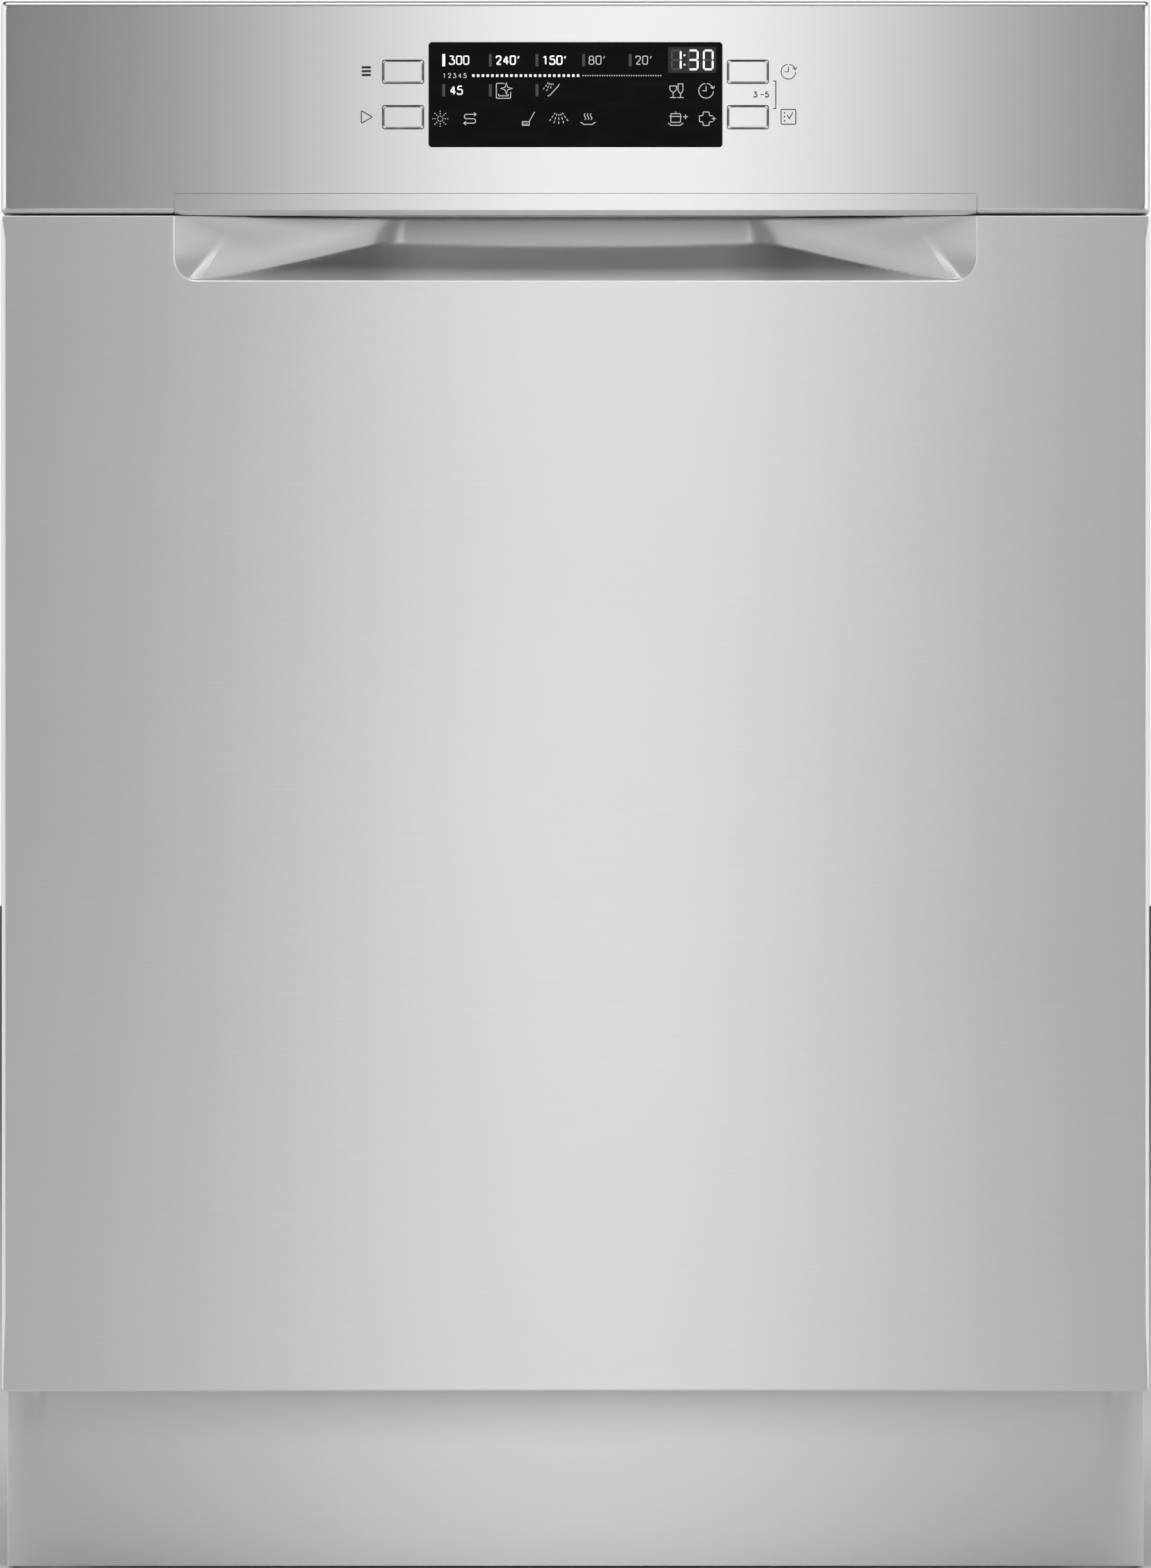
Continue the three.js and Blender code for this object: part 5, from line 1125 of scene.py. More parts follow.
# Each digit as one line in a cell one high, before its corners are rounded.
DIGIT_STROKES: dict[str, list[tuple[float, float]]] = {
    "0": [(0.3, 1), (0, 1), (0, 0), (0.6, 0), (0.6, 1), (0.3, 1)],
    "1": [(0.1, 0.82), (0.36, 1), (0.36, 0)],
    "2": [(0.02, 0.75), (0.06, 1), (0.58, 1), (0.58, 0.6), (0.02, 0), (0.6, 0)],
    "3": [(0.02, 1), (0.56, 1), (0.24, 0.58), (0.6, 0.55), (0.6, 0), (0.02, 0), (0, 0.2)],
    "4": [(0.45, 0), (0.45, 1), (0, 0.3), (0.65, 0.3)],
    "5": [(0.55, 1), (0.08, 1), (0.04, 0.58), (0.6, 0.62), (0.6, 0), (0.02, 0), (0, 0.2)],
    "8": [
        (0.3, 0.53), (0.03, 0.53), (0.05, 1), (0.55, 1), (0.57, 0.53),
        (0, 0.53), (0, 0), (0.6, 0), (0.6, 0.53), (0.3, 0.53),
    ],
}


DIGIT_CORNER, DIGIT_PITCH = 0.24, 0.88  # rounding and spacing, as shares of a digit's height


def number(text: str, x: float, z: float, height: float, width: float, minutes: bool = False) -> list[Skin]:
    """A plain number in rounded strokes, with a prime mark after it if it stands for minutes.

    Args:
        text: The digits.
        x: Left end.
        z: Foot of the digits.
        height: Their height.
        width: Width of the strokes.
        minutes: Whether the prime mark is drawn.

    Returns:
        The strokes.
    """
    drawn = []
    for place, digit in enumerate(text):
        line = rounded_line(np.array(DIGIT_STROKES[digit]), DIGIT_CORNER, 4) * height
        drawn.append(ribbon(line + np.array([x + place * DIGIT_PITCH * height, z]), width))
    if minutes:
        after = x + (len(text) * DIGIT_PITCH + 0.05) * height
        drawn.append(ribbon([(after, z + 0.72 * height), (after + 0.12 * height, z + height)], width))
    return drawn


@dataclass(frozen=True)
class SevenSegment:
    """A cell of seven bars, seen from the front, that shows one digit."""

    width: float = 4.6
    height: float = 9.8
    bar: float = 1.0
    gap: float = 0.18

    def bars(self) -> dict[str, Skin]:
        """The seven bars by their usual letters, from the top one round to the middle one.

        Returns:
            Each bar's letter with its skin.
        """
        ends = {
            "a": ((-1, 1), (1, 1)),
            "b": ((1, 1), (1, 0)),
            "c": ((1, 0), (1, -1)),
            "d": ((-1, -1), (1, -1)),
            "e": ((-1, 0), (-1, -1)),
            "f": ((-1, 1), (-1, 0)),
            "g": ((-1, 0), (1, 0)),
        }
        half = np.array([self.width / 2, self.height / 2])
        return {letter: self.one_bar(np.array(a) * half, np.array(b) * half) for letter, (a, b) in ends.items()}

    def one_bar(self, start: Array, end: Array) -> Skin:
        """A six-sided bar between two points, a gap short of each.

        Args:
            start: One end.
            end: The other end.

        Returns:
            The bar.
        """
        along = (end - start) / np.linalg.norm(end - start)
        side = np.array([-along[1], along[0]]) * self.bar / 2
        a, b = start + along * self.gap, end - along * self.gap
        inner = along * self.bar / 2
        return blob(np.array([a, a + inner - side, b - inner - side, b, b - inner + side, a + inner + side]))

    def show(self, lit: str, x: float, z: float) -> tuple[list[Skin], list[Skin]]:
        """The lit and the unlit bars of a cell at a place."""
        bars = {letter: skin.moved((x, 0, z)) for letter, skin in self.bars().items()}
        return [bars[k] for k in bars if k in lit], [bars[k] for k in bars if k not in lit]


BUTTONS = ("program_button", "start_button", "delay_button", "option_button")


def placed(signs: list[tuple[Icon, float, float]]) -> list[Skin]:
    """The strokes of each sign, moved to its place."""
    return [skin.moved((x, 0, z)) for icon, x, z in signs for skin in icon.skins()]


@dataclass(frozen=True)
class ControlPanel:
    """The steel fascia with its grip strip, its four buttons, its printed signs and the display behind its window.

    Rows, columns and sizes of the marks are in millimetres from the display's middle.
    """

    face: float = -288 * MM
    face_set_back: float = 0.05 * MM
    print_lift: float = 0.015 * MM
    window_marks: float = 0.03 * MM
    cap_corner: float = 0.9 * MM
    cap_depth: float = 2.6 * MM
    groove: float = 0.5
    groove_gap: float = 0.15
    groove_corner: float = 1.05
    column_start: float = -68.4
    column_pitch: float = 24.2
    top_row: float = 17.9
    clock_row: float = 18.05
    dots_row: float = 9.9
    middle_row: float = 2.3
    low_row: float = -12.5
    digit: float = 4.2
    column_bar: tuple[float, float] = (1.5, 6.4)

    def build(self) -> None:
        """Makes the steel parts, the printed signs and the display."""
        dressed_copy("fascia", Finishes.PANEL, 0.0, sharp=50, foremost=self.face + self.face_set_back)
        dressed_copy("grip_strip", Finishes.PANEL, 0.0, sharp=25, foremost=self.face + self.face_set_back)
        for button in BUTTONS:
            self.cap(button)
        dressed_copy("display_window", Finishes.WINDOW, 0.1 * MM)
        self.print_signs()
        self.light_display()

    def cap(self, button: str) -> None:
        """A button's flat face with small corners, just in front of the fascia and behind the printed signs.

        Args:
            button: The CAD node that the cap replaces.
        """
        low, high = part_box(button)
        start = (low.x, self.face + 2 * self.print_lift, low.z)
        skin = slab(start, (high.x, self.face + self.cap_depth, high.z), self.cap_corner, 1)
        made = piece(f"{button}_cap", skin, Finishes.PANEL, frame["nodes"][button]["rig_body"])
        even_normals(made)
        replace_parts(made, button)

    def middle(self) -> Array:
        """The display's middle (x, z) in metres."""
        low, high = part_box("display_window")
        return np.array([low.x + high.x, low.z + high.z]) / 2

    def sheet(self, name: str, skins: list[Skin], finish: Finish, y: float) -> None:
        """Makes flat marks a piece in a plane of the panel.

        Args:
            name: The piece's name.
            skins: The marks, in millimetres about the display's middle.
            finish: Their material.
            y: The plane.
        """
        drawn = joined(skins)
        place = np.insert(self.middle(), 1, y)
        piece(name, Skin(drawn.points * MM + place, drawn.faces), finish, "door")

    def print_signs(self) -> None:
        """A dark painted shadow in the grooves round the buttons, the four signs beside them, and the bracket and
        numbers between two.
        """
        groove_shades = []
        for button in BUTTONS:
            low, high = (np.array([corner.x, corner.z]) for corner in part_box(button))
            half_width, half_height = (high - low) / 2 / MM + self.groove_gap
            outline = box_outline(half_width, half_height, self.groove_corner, 5)
            groove_shades.append(ribbon(outline + ((low + high) / 2 - self.middle()) / MM, self.groove, True))
        # Painted shadow in the gaps round the buttons, drawn as a dark flat ribbon.
        self.sheet("button_groove_shadows", groove_shades, Finishes.GROOVE_SHADOW, self.face + self.print_lift)
        left = [(Icon.MENU, -108.6, 12.2), (Icon.PLAY, -108.4, -11.6)]
        signs = placed(left + [(Icon.CLOCK, 110.5, 11.9), (Icon.CHECK, 110.5, -11.5)])
        bracket = [(102.6, 7.1), (104.0, 7.1), (104.0, -7.1), (102.6, -7.1)]
        dash = plus(96.9, 0.1, 0.9)[0]
        signs += [ribbon(bracket, 0.5), *number("3", 92.6, -1.2, 2.6, 0.55), dash]
        signs += number("5", 98.6, -1.2, 2.6, 0.55)
        self.sheet("printed_signs", signs, Finishes.INK, self.face + self.print_lift)

    def dots(self, start: float, pitch: float, size: float, count: int) -> list[Skin]:
        """A run of small squares on the time line."""
        return [block(start + pitch * k, self.dots_row, size, size) for k in range(count)]

    def light_display(self) -> None:
        """The display's bars, numbers, dots and signs in three brightnesses."""
        columns = self.column_start + self.column_pitch * np.arange(5)
        foot = self.top_row - self.digit / 2
        bright = [block(columns[0], self.top_row, *self.column_bar)]
        bright += number("300", columns[0] + 3.0, foot, self.digit, 0.62)
        bright += number("240", columns[1] + 3.0, foot, self.digit, 0.72, True)
        bright += number("150", columns[2] + 3.0, foot, self.digit, 0.72, True)
        bright += number("45", columns[0] + 3.4, self.middle_row - self.digit / 2, self.digit, 0.66)
        bright += self.dots(-53.0, 2.47, 1.3, 23)
        soft = number("80", columns[3] + 2.8, foot, self.digit, 0.5, True)
        soft += number("20", columns[4] + 2.8, foot, self.digit, 0.5, True)
        for k, digit in enumerate("12345"):
            soft += number(digit, columns[0] - 0.4 + 2.7 * k, self.dots_row - 1.1, 2.2, 0.36)
        soft += self.dots(3.9, 1.26, 0.62, 33)
        low, middle = self.low_row, self.middle_row - 0.3
        soft += placed([
            (Icon.STAR, -37.4, middle),
            (Icon.ANGLED_SPRAY, -12.8, self.middle_row - 0.1),
            (Icon.GLASSES, 52.6, middle),
            (Icon.CLOCK, 67.8, middle),
            (Icon.SUN, -70.2, low),
            (Icon.ARROWS, -54.8, low),
            (Icon.BRUSH, -24.2, low),
            (Icon.SPRAY, -8.7, low),
            (Icon.STEAM, 6.5, low),
            (Icon.POT, 52.8, low),
            (Icon.CROSS, 67.8, low),
        ])
        # The faint marks are bars that are off; their faint glow is painted light, as is the glow of the cell panel
        # behind the clock.
        faint = [block(x, self.top_row, *self.column_bar) for x in columns[1:]]
        faint += [block(x, self.middle_row, *self.column_bar) for x in columns[:3]]
        for lit, x in (("bc", 52.3), ("abcdg", 61.1), ("abcdef", 68.9)):
            on, off = SevenSegment().show(lit, x, self.clock_row)
            bright += on
            faint += off
        bright += [dot(56.6, self.top_row + up, 0.5) for up in (-2.3, 2.6)]
        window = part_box("display_window")[0].y
        panel = block(60.6, self.clock_row, 25.0, 13.4)
        self.sheet("display_cell_panel", [panel], Finishes.GHOST_PANEL, window - self.window_marks / 2)
        self.sheet("display_bright_marks", bright, Finishes.LIT, window - self.window_marks)
        self.sheet("display_soft_marks", soft, Finishes.DIM, window - self.window_marks)
        self.sheet("display_faint_marks", faint, Finishes.GHOST, window - self.window_marks)


# ---------------------------------------------------------------- racks and spray arms


@dataclass(frozen=True)
class WireRack:
    """A rack of round coated wires: hoops both ways with two wires round them, and rows of tines on its floor."""

    node: str
    half_width: float
    wall: float
    tine_rows: tuple[float, ...]
    tine_height: float
    tines: int
    wire: float = 1.8 * MM
    rim: float = 2.4 * MM
    bend: float = 14 * MM
    across: int = 11
    along: int = 7
    margin: float = 30 * MM
    side_margin: float = 50 * MM
    tine_margin: float = 16 * MM
    layer: float = 2.16 * MM

    def span(self) -> tuple[float, float, float, float]:
        """Where the rack's outer wires run.

        Returns:
            The front and the back of its rim's middle line, the height of its rim and the height of its floor.
        """
        low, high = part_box(self.node)
        top = high.z - self.wire
        return low.y + self.rim, high.y - self.rim, top, top - self.wall

    def hoop(self, start: float, end: float, floor: float, top: float, at: float, axis: int) -> Skin:
        """One hoop down a wall, over the floor and up the other wall.

        Args:
            start: Where the first wall stands.
            end: Where the second wall stands.
            floor: Height of its floor run.
            top: Height of its ends.
            at: Its place along its axis.
            axis: 0 if it lies across X, so that it runs from front to back, or 1 if it runs from side to side.

        Returns:
            The wire's skin.
        """
        line = rounded_line(np.array([(start, top), (start, floor), (end, floor), (end, top)]), self.bend, 6)
        path = np.full((len(line), 3), at)
        path[:, 1 - axis], path[:, 2] = line[:, 0], line[:, 1]
        return tube(path, self.wire)

    def ring(self, front: float, back: float, z: float) -> Skin:
        """A closed wire round the rack at a height."""
        outline = box_outline(self.half_width, (back - front) / 2, self.bend, 6) + np.array([0, (front + back) / 2])
        return tube(np.column_stack([outline, np.full(len(outline), z)]), self.rim, 10, True)

    def basket(self) -> Skin:
        """Every wire of the rack, its tines included.

        Returns:
            The wires as one skin.
        """
        front, back, top, floor = self.span()
        places = np.linspace(front + self.margin, back - self.margin, self.across)
        reach = self.half_width + self.rim - self.side_margin
        skins = [self.hoop(-self.half_width, self.half_width, floor, top, y, 1) for y in places]
        skins += [self.hoop(front, back, floor + self.layer, top, x, 0) for x in np.linspace(-reach, reach, self.along)]
        skins += [self.ring(front, back, z) for z in (top, (top + floor) / 2)]
        spots = np.linspace(places[0] + self.tine_margin, places[-1] - self.tine_margin, self.tines)
        tine = bar((0, 0, floor + self.layer), (0, 0, floor + self.tine_height), self.wire * 0.9)
        skins += [tine.moved((x, y, 0)) for x in self.tine_rows for y in spots]
        return joined(skins)


@dataclass(frozen=True)
class LowerRack(WireRack):
    """The lower rack with its wheel hangers, its saddles for the folding tines and its wheels."""

    hanger: tuple[float, float] = (253 * MM, 258 * MM)
    hanger_foot: tuple[float, float] = (9 * MM, 7 * MM)
    hanger_head: tuple[float, float] = (16 * MM, 22 * MM)
    axle: float = 3 * MM
    axle_play: float = 0.3 * MM
    axle_head: tuple[float, float] = (5.4 * MM, 2.3 * MM)
    hub_wall: float = 3 * MM
    tread: float = 4 * MM
    edge: float = 1.2 * MM
    saddle: Triple = (6 * MM, 2.5 * MM, 13 * MM)

    def wheel(self, node: str) -> Skin:
        """A wheel with a rounded tread, a sunk face with a raised hub on both sides and a bore for its axle.

        Args:
            node: The CAD wheel whose box it fills.

        Returns:
            The wheel at its place: its section turned about its axle.
        """
        low, high = (np.array(corner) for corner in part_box(node))
        half, _, radius = (high - low) / 2
        bore, inner, edge, slope = self.axle + self.axle_play, radius - self.tread, self.edge, self.hub_wall / 5
        section = np.array([
            (bore, half),
            (bore + self.hub_wall, half),
            (bore + self.hub_wall + slope, half - edge * 2),
            (inner - slope, half - edge * 2),
            (inner, half),
            (radius - edge, half),
            (radius - edge * 0.3, half - edge * 0.3),
            (radius, half - edge),
        ])
        profile = np.concatenate([section * (1, -1), section[::-1], section[:1] * (1, -1)])
        return along_x(turned(profile, 48)).moved((low + high) / 2)

    def pin(self, far: float) -> Skin:
        """A stub axle along X with a head past its wheel.

        Args:
            far: The wheel's outer side.

        Returns:
            The axle about the X axis.
        """
        root, (head, length) = self.hanger[1], self.axle_head
        near = far + self.axle_play
        profile = [
            (0, root), (self.axle, root), (self.axle, near), (head, near),
            (head, far + 1.4 * MM), (head - 1.2 * MM, far + length), (0, far + length),
        ]
        return along_x(turned(np.array(profile), 24))

    def build(self) -> None:
        """Makes the wires, the hangers with their axles, the saddles and the wheels."""
        front, back, _, floor = self.span()
        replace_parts(piece("lower_rack_wires", self.basket(), Finishes.WIRE, "lower_basket"), self.node)
        hangers = []
        (foot, drop), (wide, rise) = self.hanger_foot, self.hanger_head
        for end in ("front", "rear"):
            low, high = (np.array(corner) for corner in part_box(f"right_{end}_rack_wheel"))
            _, y, z = (low + high) / 2
            line = [(y - foot, z - drop), (y + foot, z - drop), (y + wide, floor + rise), (y - wide, floor + rise)]
            plate = prism(rounded_line(np.array(line), 4 * MM, 4, True), 0, *self.hanger, 1 * MM)
            pin = self.pin(high[0]).moved((0, y, z))
            hangers += [plate, plate.mirrored(), pin, pin.mirrored()]
        x, y_half, top = self.saddle
        for y in (front + self.margin, back - self.margin):
            low, high = (-x, y - y_half, floor - self.wire), (x, y + y_half, floor + top)
            hangers.append(slab(low, high, self.edge, 1))
        piece("lower_rack_hangers", joined(hangers), Finishes.GREY, "lower_basket")
        for node in [f"{side}_{end}_rack_wheel" for side in ("right", "left") for end in ("front", "rear")]:
            made = piece(f"{node}_tread", self.wheel(node), Finishes.GREY, frame["nodes"][node]["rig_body"], 30)
            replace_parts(made, node)


@dataclass(frozen=True)
class FoldingTines:
    """The row of tines that folds down, bent out of round wire on a round axle."""

    axle: float = 3 * MM
    wire: float = 1.62 * MM
    margin: float = 22 * MM
    tines: int = 11

    def build(self) -> None:
        """Makes the axle and its tines one piece."""
        low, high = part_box("folding_tines")
        z = low.z + self.axle
        skins = [bar((0, low.y + self.axle / 2, z), (0, high.y - self.axle / 2, z), self.axle, 16)]
        tine = bar((0, 0, z), (0, 0, high.z - self.wire / 2), self.wire)
        skins += [tine.moved((0, y, 0)) for y in np.linspace(low.y + self.margin, high.y - self.margin, self.tines)]
        made = piece("folding_tine_row", joined(skins), Finishes.WIRE, frame["nodes"]["folding_tines"]["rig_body"])
        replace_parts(made, "folding_tines")


@dataclass(frozen=True)
class UpperRack(WireRack):
    """The upper rack with the feed under its floor, the pin of its spray arm and the eyes of its cup shelves."""

    feed_half: float = 11 * MM
    feed_height: float = 12 * MM
    feed_over_arm: float = 1.2 * MM
    feed_nose: float = 14 * MM
    feed_end_gap: float = 16.3 * MM
    clip: float = 4 * MM
    clip_reach: float = 70 * MM
    pin: float = 7 * MM
    pin_head: float = 11 * MM
    pin_head_height: float = 5 * MM
    play: float = 0.3 * MM
    shelf_inset: float = 18 * MM
    shelf_drop: float = 12 * MM
    shelf_gap: float = 11 * MM
    rod: float = 3 * MM
    rod_length: float = 18 * MM

    def feed(self, middle: float, low: float, floor: float) -> list[Skin]:
        """The flat channel that brings water to the arm, and the clips that hang it on the rack's floor.

        Args:
            middle: The y of the arm's axis.
            low: The channel's underside.
            floor: Height of the rack's floor.

        Returns:
            The channel, and an upright and a bridge at each clip.
        """
        w, c, high = self.feed_half, self.clip, low + self.feed_height
        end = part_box("feed_tube")[1].y - self.feed_end_gap
        parts = [slab((-w, middle - self.feed_nose, low), (w, end, high), 3 * MM, 1)]
        for y in (middle, end - self.feed_nose):
            parts.append(slab((-c, y - c, high - c / 2), (c, y + c, floor), 1 * MM))
            bridge = (-self.clip_reach, y - c, floor - c), (self.clip_reach, y + c, floor + 1.4 * MM)
            parts.append(slab(*bridge, 1.2 * MM, 0))
        return parts

    def build(self) -> None:
        """Makes the wires and the moulded parts clipped to them."""
        _, _, top, floor = self.span()
        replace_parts(piece("upper_rack_wires", self.basket(), Finishes.WIRE, "upper_basket"), self.node)
        low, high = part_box("upper_spray_arm")
        middle, under = (low.y + high.y) / 2, high.z + self.feed_over_arm
        parts = self.feed(middle, under, floor)
        head, foot, step = self.pin_head, low.z - self.pin_head_height, low.z - self.play
        profile = [
            (0, foot), (head - MM, foot), (head, foot + MM), (head, step),
            (self.pin, step), (self.pin, under + MM), (0, under + MM),
        ]
        parts.append(turned(np.array(profile), 32).moved((0, middle, 0)))
        low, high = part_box("right_cup_shelf")
        x, z = self.half_width + self.rim - self.shelf_inset, top - self.shelf_drop
        for y, inner in ((low.y - self.shelf_gap, 1), (high.y + self.shelf_gap, -1)):
            eye = slab((x - 4 * MM, y - 3 * MM, z - 5 * MM), (self.half_width, y + 3 * MM, top), 1.5 * MM, 1)
            near, far = sorted((y, y + inner * self.rod_length))
            rod = bar((x, near, z), (x, far, z), self.rod, 16)
            parts += [eye, eye.mirrored(), rod, rod.mirrored()]
        piece("upper_rack_fittings", joined(parts), Finishes.GREY, "upper_basket")


@dataclass(frozen=True)
class SprayArm:
    """A hollow spray arm: two swept blades that thin towards their tips, a round hub and jets along each blade."""

    node: str
    length: float
    root: float
    jets: int
    thickness: float = 12 * MM
    sweep: float = 12 * MM
    narrowing: float = 0.45
    thinning: float = 0.35
    tip: float = 0.1
    hub: float = 19 * MM
    hub_edge: float = 2 * MM
    slot: Triple = (2 * MM, 0.5 * MM, 1.1 * MM)

    def blade(self) -> Skin:
        """One blade. Its half width and its half height shrink evenly from root to tip, it bows sideways by a half
        sine, its section is a squared-off ellipse, and its tip closes like the end of an egg.

        Returns:
            The blade's skin, along +X at z = 0.
        """
        straight = 1 - self.tip
        t = np.concatenate([np.linspace(0, straight, 28), 1 - self.tip * np.linspace(0.95, 0, 10) ** 2])[:, None]
        turn = np.linspace(0, 2 * math.pi, 32, endpoint=False)[None, :]
        close = np.sqrt(np.clip(1 - (np.clip(t - straight, 0, None) / self.tip) ** 2, 1e-4, 1))
        half_width = self.root / 2 * (1 - self.narrowing * t) * close
        half_height = self.thickness / 2 * (1 - self.thinning * t) * np.sqrt(close)
        squared = 1 / np.maximum(np.abs(np.cos(turn)), np.abs(np.sin(turn))) ** 0.6
        across = self.sweep * np.sin(math.pi * t) + half_width * np.cos(turn) * squared
        up = half_height * np.sin(turn) * squared
        points = np.stack([self.length * t + 0 * turn, across, up], -1)
        ends = [np.repeat(points[k].mean(0)[None], 32, 0) for k in (0, -1)]
        return sheet_skin(np.concatenate([ends[0][None], points, ends[1][None]]), wrap_columns=True)

    def both_ways(self, skin: Skin) -> Skin:
        """A skin and its copy turned half round the Z axis."""
        return skin + Skin(skin.points * np.array([-1.0, -1.0, 1.0]), skin.faces)

    def build(self) -> None:
        """Makes the arm with its raised jets, and dark patches on the jets that are painted shade in their openings."""
        low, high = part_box(self.node)
        h, r, edge = (self.thickness - 0.8 * MM) / 2, self.hub, self.hub_edge
        place = ((low.x + high.x) / 2, (low.y + high.y) / 2, low.z + h)
        hub = [(0, -h), (r - edge, -h), (r, 0.75 * edge - h), (r, h - edge), (r - edge, h), (0, h)]
        dome = turned(np.array([(4.2, -1.5), (4.0, 0.3), (2.8, 0.9), (0, 1.0)]) * MM, 16)
        slot = slab((-self.slot[0], -self.slot[1], 0), self.slot, 0.3 * MM)
        jets, jet_shades = [], []
        for t in np.linspace(0.3, 0.9, self.jets):
            spot = (self.length * t, self.sweep * math.sin(math.pi * t), self.thickness / 2 * (1 - self.thinning * t))
            jets.append(dome.moved(spot))
            jet_shades.append(slot.moved(spot))
        body = frame["nodes"][self.node]["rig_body"]
        shell = self.both_ways(joined([self.blade(), *jets])) + turned(np.array(hub), 40)
        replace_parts(piece(f"{self.node}_shell", shell.moved(place), Finishes.GREY, body, 40), self.node)
        # Painted shade: a dark patch at each jet stands for the shade inside its opening.
        piece(f"{self.node}_slots", self.both_ways(joined(jet_shades)).moved(place), Finishes.DARK, body)


@dataclass(frozen=True)
class WireRackSet:
    """Both racks, the folding tines and the three spray arms."""

    def build(self) -> None:
        """Makes them all."""
        lower_rows, upper_rows = (-206 * MM, -68.67 * MM), (-66 * MM, 66 * MM)
        LowerRack("lower_rack", 253.6 * MM, 104 * MM, lower_rows, 66 * MM, 15).build()
        UpperRack("upper_rack", 245.6 * MM, 92 * MM, upper_rows, 52 * MM, 13).build()
        FoldingTines().build()
        SprayArm("lower_spray_arm", 232 * MM, 44 * MM, 6).build()
        SprayArm("upper_spray_arm", 205 * MM, 36 * MM, 5).build()
        SprayArm("ceiling_spray_arm", 74 * MM, 24 * MM, 3).build()


# ---------------------------------------------------------------- casework


def sides(*names: str) -> list[str]:
    """The right and the left one of each node."""
    return [f"{side}_{name}" for name in names for side in ("right", "left")]


def soften(finish: Finish, bevel: float, *nodes: str) -> None:
    """Replaces CAD nodes by copies with softened edges."""
    for node in nodes:
        dressed_copy(node, finish, bevel, 40)


@dataclass(frozen=True)
class Casework:
    """The machine's own body: base, tub, casing and what stands still or swings in them."""

    plinth_fold: float = 0.4 * MM
    plinth_return: float = 14 * MM
    plinth_sheet: float = 1 * MM
    arm_over_flange: float = 0.4 * MM
    screw: float = 4.2 * MM
    screws_per_edge: int = 4
    edge_inset: float = 14 * MM
    lowest_screw: float = 160 * MM
    highest_screw: float = 30 * MM

    def dress(self) -> None:
        """Gives every node that no other class draws its finish, with softened edges where it is moulded or folded."""
        self.plinth()
        soften(Finishes.ZINC, 0.0, "rear_panel", "top_plate", *sides("side_panel", "hinge_bracket"))
        for arm in sides("hinge_arm"):
            dressed_copy(arm, Finishes.ZINC, 0.0, 40, lowest=DoorFront.bottom + self.arm_over_flange)
        soften(Finishes.TUB, 0.0, "tub", "door_liner", "flat_filter", "latch_catch", *sides("runner"))
        soften(Finishes.DARK, 0.6 * MM, "base", "sump", "coarse_filter", "circulation_pump", "door_latch")
        soften(Finishes.DARK, 0.6 * MM, "foot_front_left", "foot_front_right", "foot_rear", "control_board")
        soften(Finishes.DARK, 0.8 * MM, "dispenser_lid", "rinse_aid_cap")
        soften(Finishes.GREY, 0.6 * MM, "drain_pump", "salt_cap", "feed_tube", "dispenser", "cutlery_basket")
        soften(Finishes.GREY, 0.6 * MM, *sides("rack_carrier", "cup_shelf"))
        soften(Finishes.WHITE, 0.6 * MM, "softener", "water_valve", *sides("front_roller", "rear_roller"))
        soften(Finishes.RUBBER, 1.5 * MM, "door_seal")
        self.screws()

    def plinth(self) -> None:
        """The plinth as one folded sheet: a flat front with a return to the back along both ends and its top."""
        low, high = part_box("plinth")
        x, front, back, fold = high.x, low.y, low.y + self.plinth_return, self.plinth_fold
        line = rounded_line(np.array([(-x, back), (-x, front), (x, front), (x, back)]), fold, 3)
        heights = (low.z, low.z + fold, high.z - fold, high.z)
        grid = np.stack([np.column_stack([line, np.full(len(line), h)]) for h in heights])
        cap = grid[-1:].copy()
        cap[..., 1] = back
        made = piece("plinth_sheet", sheet_skin(np.concatenate([grid, cap])), Finishes.PLINTH, "cabinet", 30)
        wall = made.modifiers.new("sheet", "SOLIDIFY")
        wall.thickness, wall.offset = self.plinth_sheet, -1
        even_normals(made)
        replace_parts(made, "plinth")

    def screws(self) -> None:
        """Low round screw heads along the front and the rear edge of both side panels."""
        low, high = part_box("right_side_panel")
        profile = [(1, -0.2 * MM), (1, 0.3 * MM), (0.8, 0.6 * MM), (0.3, 0.7 * MM), (0, 0.3 * MM)]
        head = along_x(turned(np.array(profile) * (self.screw, 1), 20))
        heights = np.linspace(low.z + self.lowest_screw, high.z - self.highest_screw, self.screws_per_edge)
        spots = [(high.x, y, z) for y in (low.y + self.edge_inset, high.y - self.edge_inset) for z in heights]
        heads = joined([head.moved(spot) for spot in spots])
        piece("casing_screws", heads + heads.mirrored(), Finishes.ZINC, "cabinet", 30)


# ---------------------------------------------------------------- studio


@dataclass(frozen=True)
class Lamp:
    """A soft rectangular light: where it stands, its size and its brightness per area."""

    name: str
    place: Triple
    width: float
    height: float
    radiance: float

    def build(self, target: Triple) -> None:
        """Makes the light, which the camera does not see.

        Args:
            target: The point that it is turned towards.
        """
        data = bpy.data.lights.new(self.name, "AREA")
        data.shape = "RECTANGLE"
        data.size, data.size_y = self.width, self.height
        data.energy = self.radiance * self.width * self.height * math.pi
        made = bpy.data.objects.new(self.name, data)
        bpy.context.scene.collection.objects.link(made)
        made.location = self.place
        made.rotation_euler = (Vector(target) - Vector(self.place)).to_track_quat("-Z", "Y").to_euler()
        made.visible_camera = False


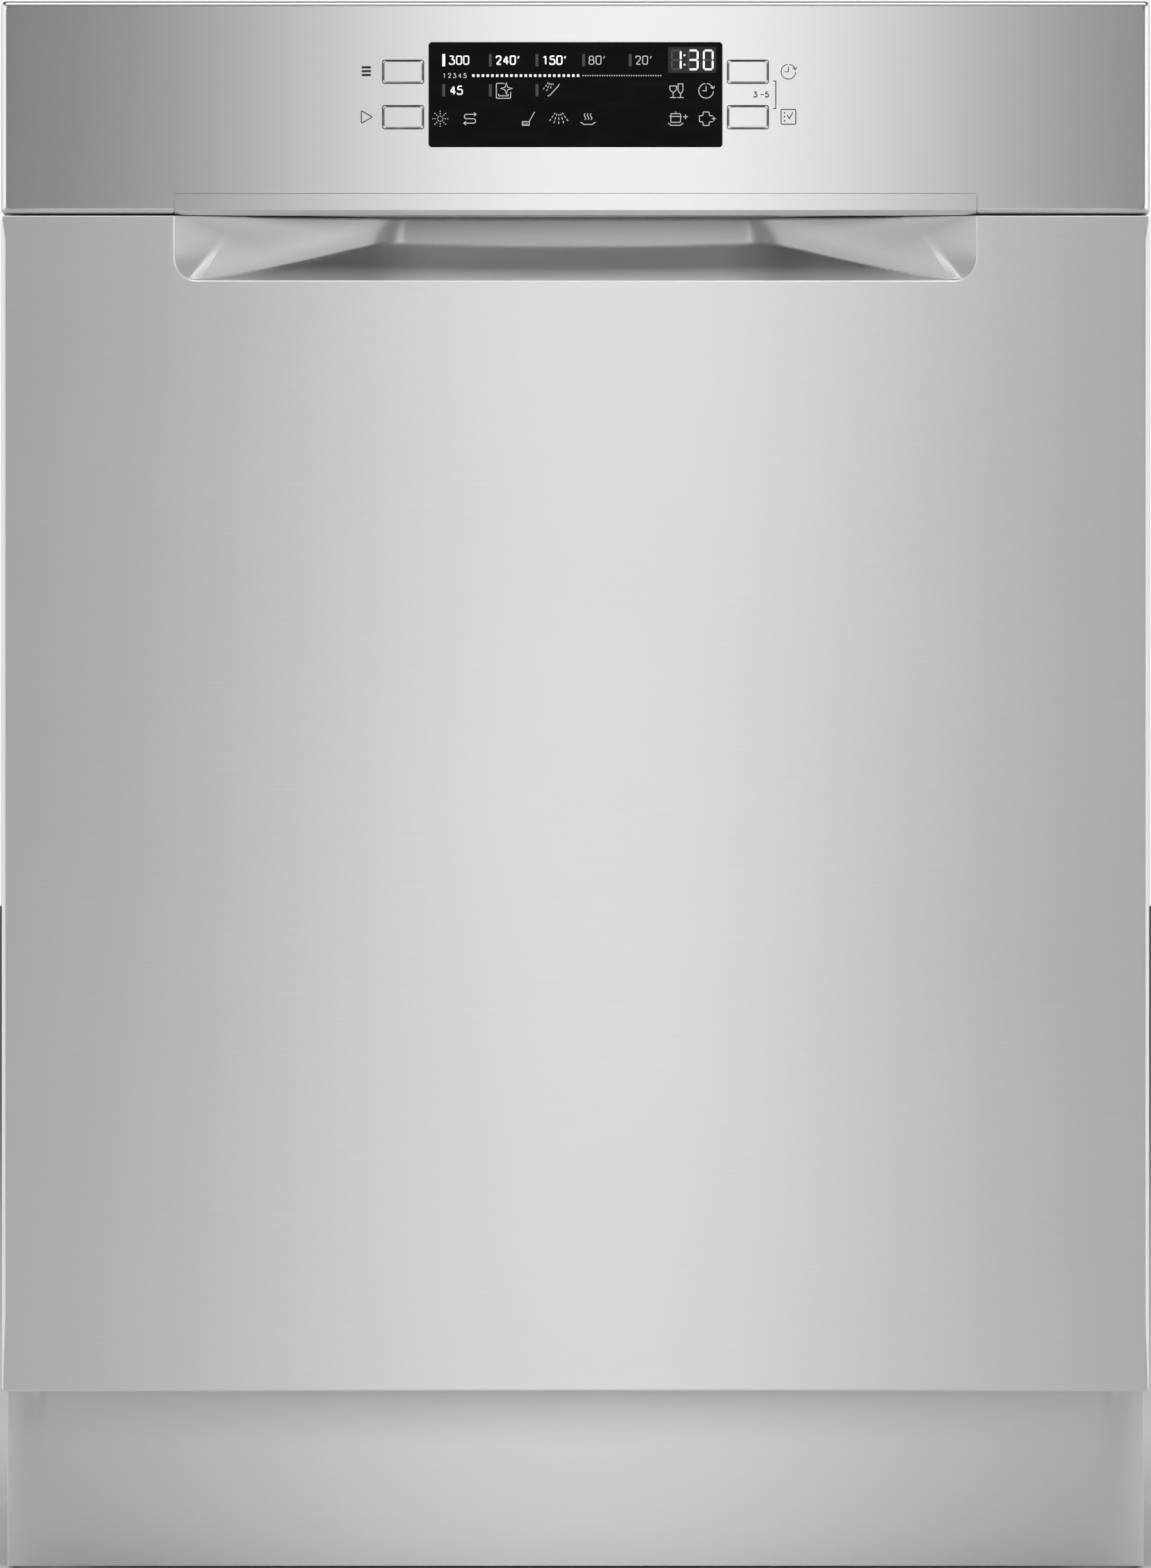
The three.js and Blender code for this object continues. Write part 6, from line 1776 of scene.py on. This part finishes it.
@dataclass(frozen=True)
class Studio:
    """The pale floor, the soft light and the camera in front of the machine."""

    floor_half: float = 30.0
    floor_grey: float = 0.86
    ambient: float = 0.10
    backdrop: float = 0.92
    camera_distance: float = 5.5
    camera_height: float = 0.4115
    seen_height: float = 0.8141
    long_side: float = 36.0
    target: Triple = (0.0, -0.288, 0.45)

    def build_floor(self) -> None:
        """A large plain square at z = 0."""
        h = self.floor_half
        mesh = bpy.data.meshes.new("floor")
        mesh.from_pydata([(-h, -h, 0), (h, -h, 0), (h, h, 0), (-h, h, 0)], [], [(0, 1, 2, 3)])
        floor = bpy.data.objects.new("floor", mesh)
        bpy.context.scene.collection.objects.link(floor)
        paint = Moulding("floor_paint", "", (self.floor_grey,) * 3, 0.9, 4 * MM, 0.01 * MM, clouds=0.004)
        mesh.materials.append(paint.material())

    def build_world(self) -> None:
        """An even pale world that is weak as a light and bright where the camera sees it."""
        world = bpy.data.worlds.new("studio")
        bpy.context.scene.world = world
        world.use_nodes = True
        nodes, links = world.node_tree.nodes, world.node_tree.links
        background = nodes["Background"]
        background.inputs["Color"].default_value = (1.0, 1.0, 1.0, 1.0)
        seen = nodes.new("ShaderNodeLightPath").outputs["Is Camera Ray"]
        level = nodes.new("ShaderNodeMapRange")
        links.new(seen, level.inputs["Value"])
        level.inputs["To Min"].default_value = self.ambient
        level.inputs["To Max"].default_value = self.backdrop
        links.new(level.outputs["Result"], background.inputs["Strength"])

    def build_lights(self) -> None:
        """A tall narrow light by the camera, three soft ones round each side, one above and two behind."""
        lamps = [
            Lamp("front_light", (0.055, -5.9, 1.3), 0.55, 3.4, 2.2),
            Lamp("left_light", (-5.0, -3.2, 1.5), 5.4, 3.4, 1.5),
            Lamp("right_light", (5.0, -3.2, 1.5), 5.4, 3.4, 1.7),
            Lamp("left_near_light", (-3.15, -5.95, 1.3), 1.6, 3.4, 0.8),
            Lamp("right_near_light", (3.15, -5.95, 1.3), 1.6, 3.4, 0.9),
            Lamp("left_far_light", (-4.8, 1.0, 1.5), 3.4, 3.4, 1.1),
            Lamp("right_far_light", (4.8, 1.0, 1.5), 3.4, 3.4, 1.1),
            Lamp("top_light", (0.0, -1.2, 4.0), 3.4, 2.0, 2.6),
            Lamp("back_left_light", (-4.0, 3.6, 2.4), 2.6, 2.6, 2.0),
            Lamp("back_right_light", (4.0, 3.6, 2.4), 2.6, 2.6, 2.0),
        ]
        for lamp in lamps:
            lamp.build(self.target)

    def build_camera(self) -> None:
        """A long lens straight at the front: its image is as tall as the seen height at the door's plane."""
        data = bpy.data.cameras.new("camera")
        data.sensor_width = self.long_side
        data.lens = self.long_side * self.camera_distance / self.seen_height
        data.clip_end = 100.0
        camera = bpy.data.objects.new("camera", data)
        bpy.context.scene.collection.objects.link(camera)
        camera.location = (0.0, DoorFront.face - self.camera_distance, self.camera_height)
        camera.rotation_euler = (math.pi / 2, 0.0, 0.0)
        bpy.context.scene.camera = camera

    def build(self) -> None:
        """Makes the floor, the world, the lights and the camera."""
        self.build_floor()
        self.build_world()
        self.build_lights()
        self.build_camera()
        view = bpy.context.scene.view_settings
        view.view_transform, view.look, view.exposure, view.gamma = "Standard", "None", 0.0, 1.0
        log.info("studio: floor, world, ten lights and the camera")


# ---------------------------------------------------------------- the machine


def main() -> None:
    """Builds every piece, then the studio."""
    logging.basicConfig(level=logging.INFO, format="%(message)s")
    DoorFront().build()
    ControlPanel().build()
    WireRackSet().build()
    Casework().dress()
    Studio().build()


if __name__ == "__main__":
    main()
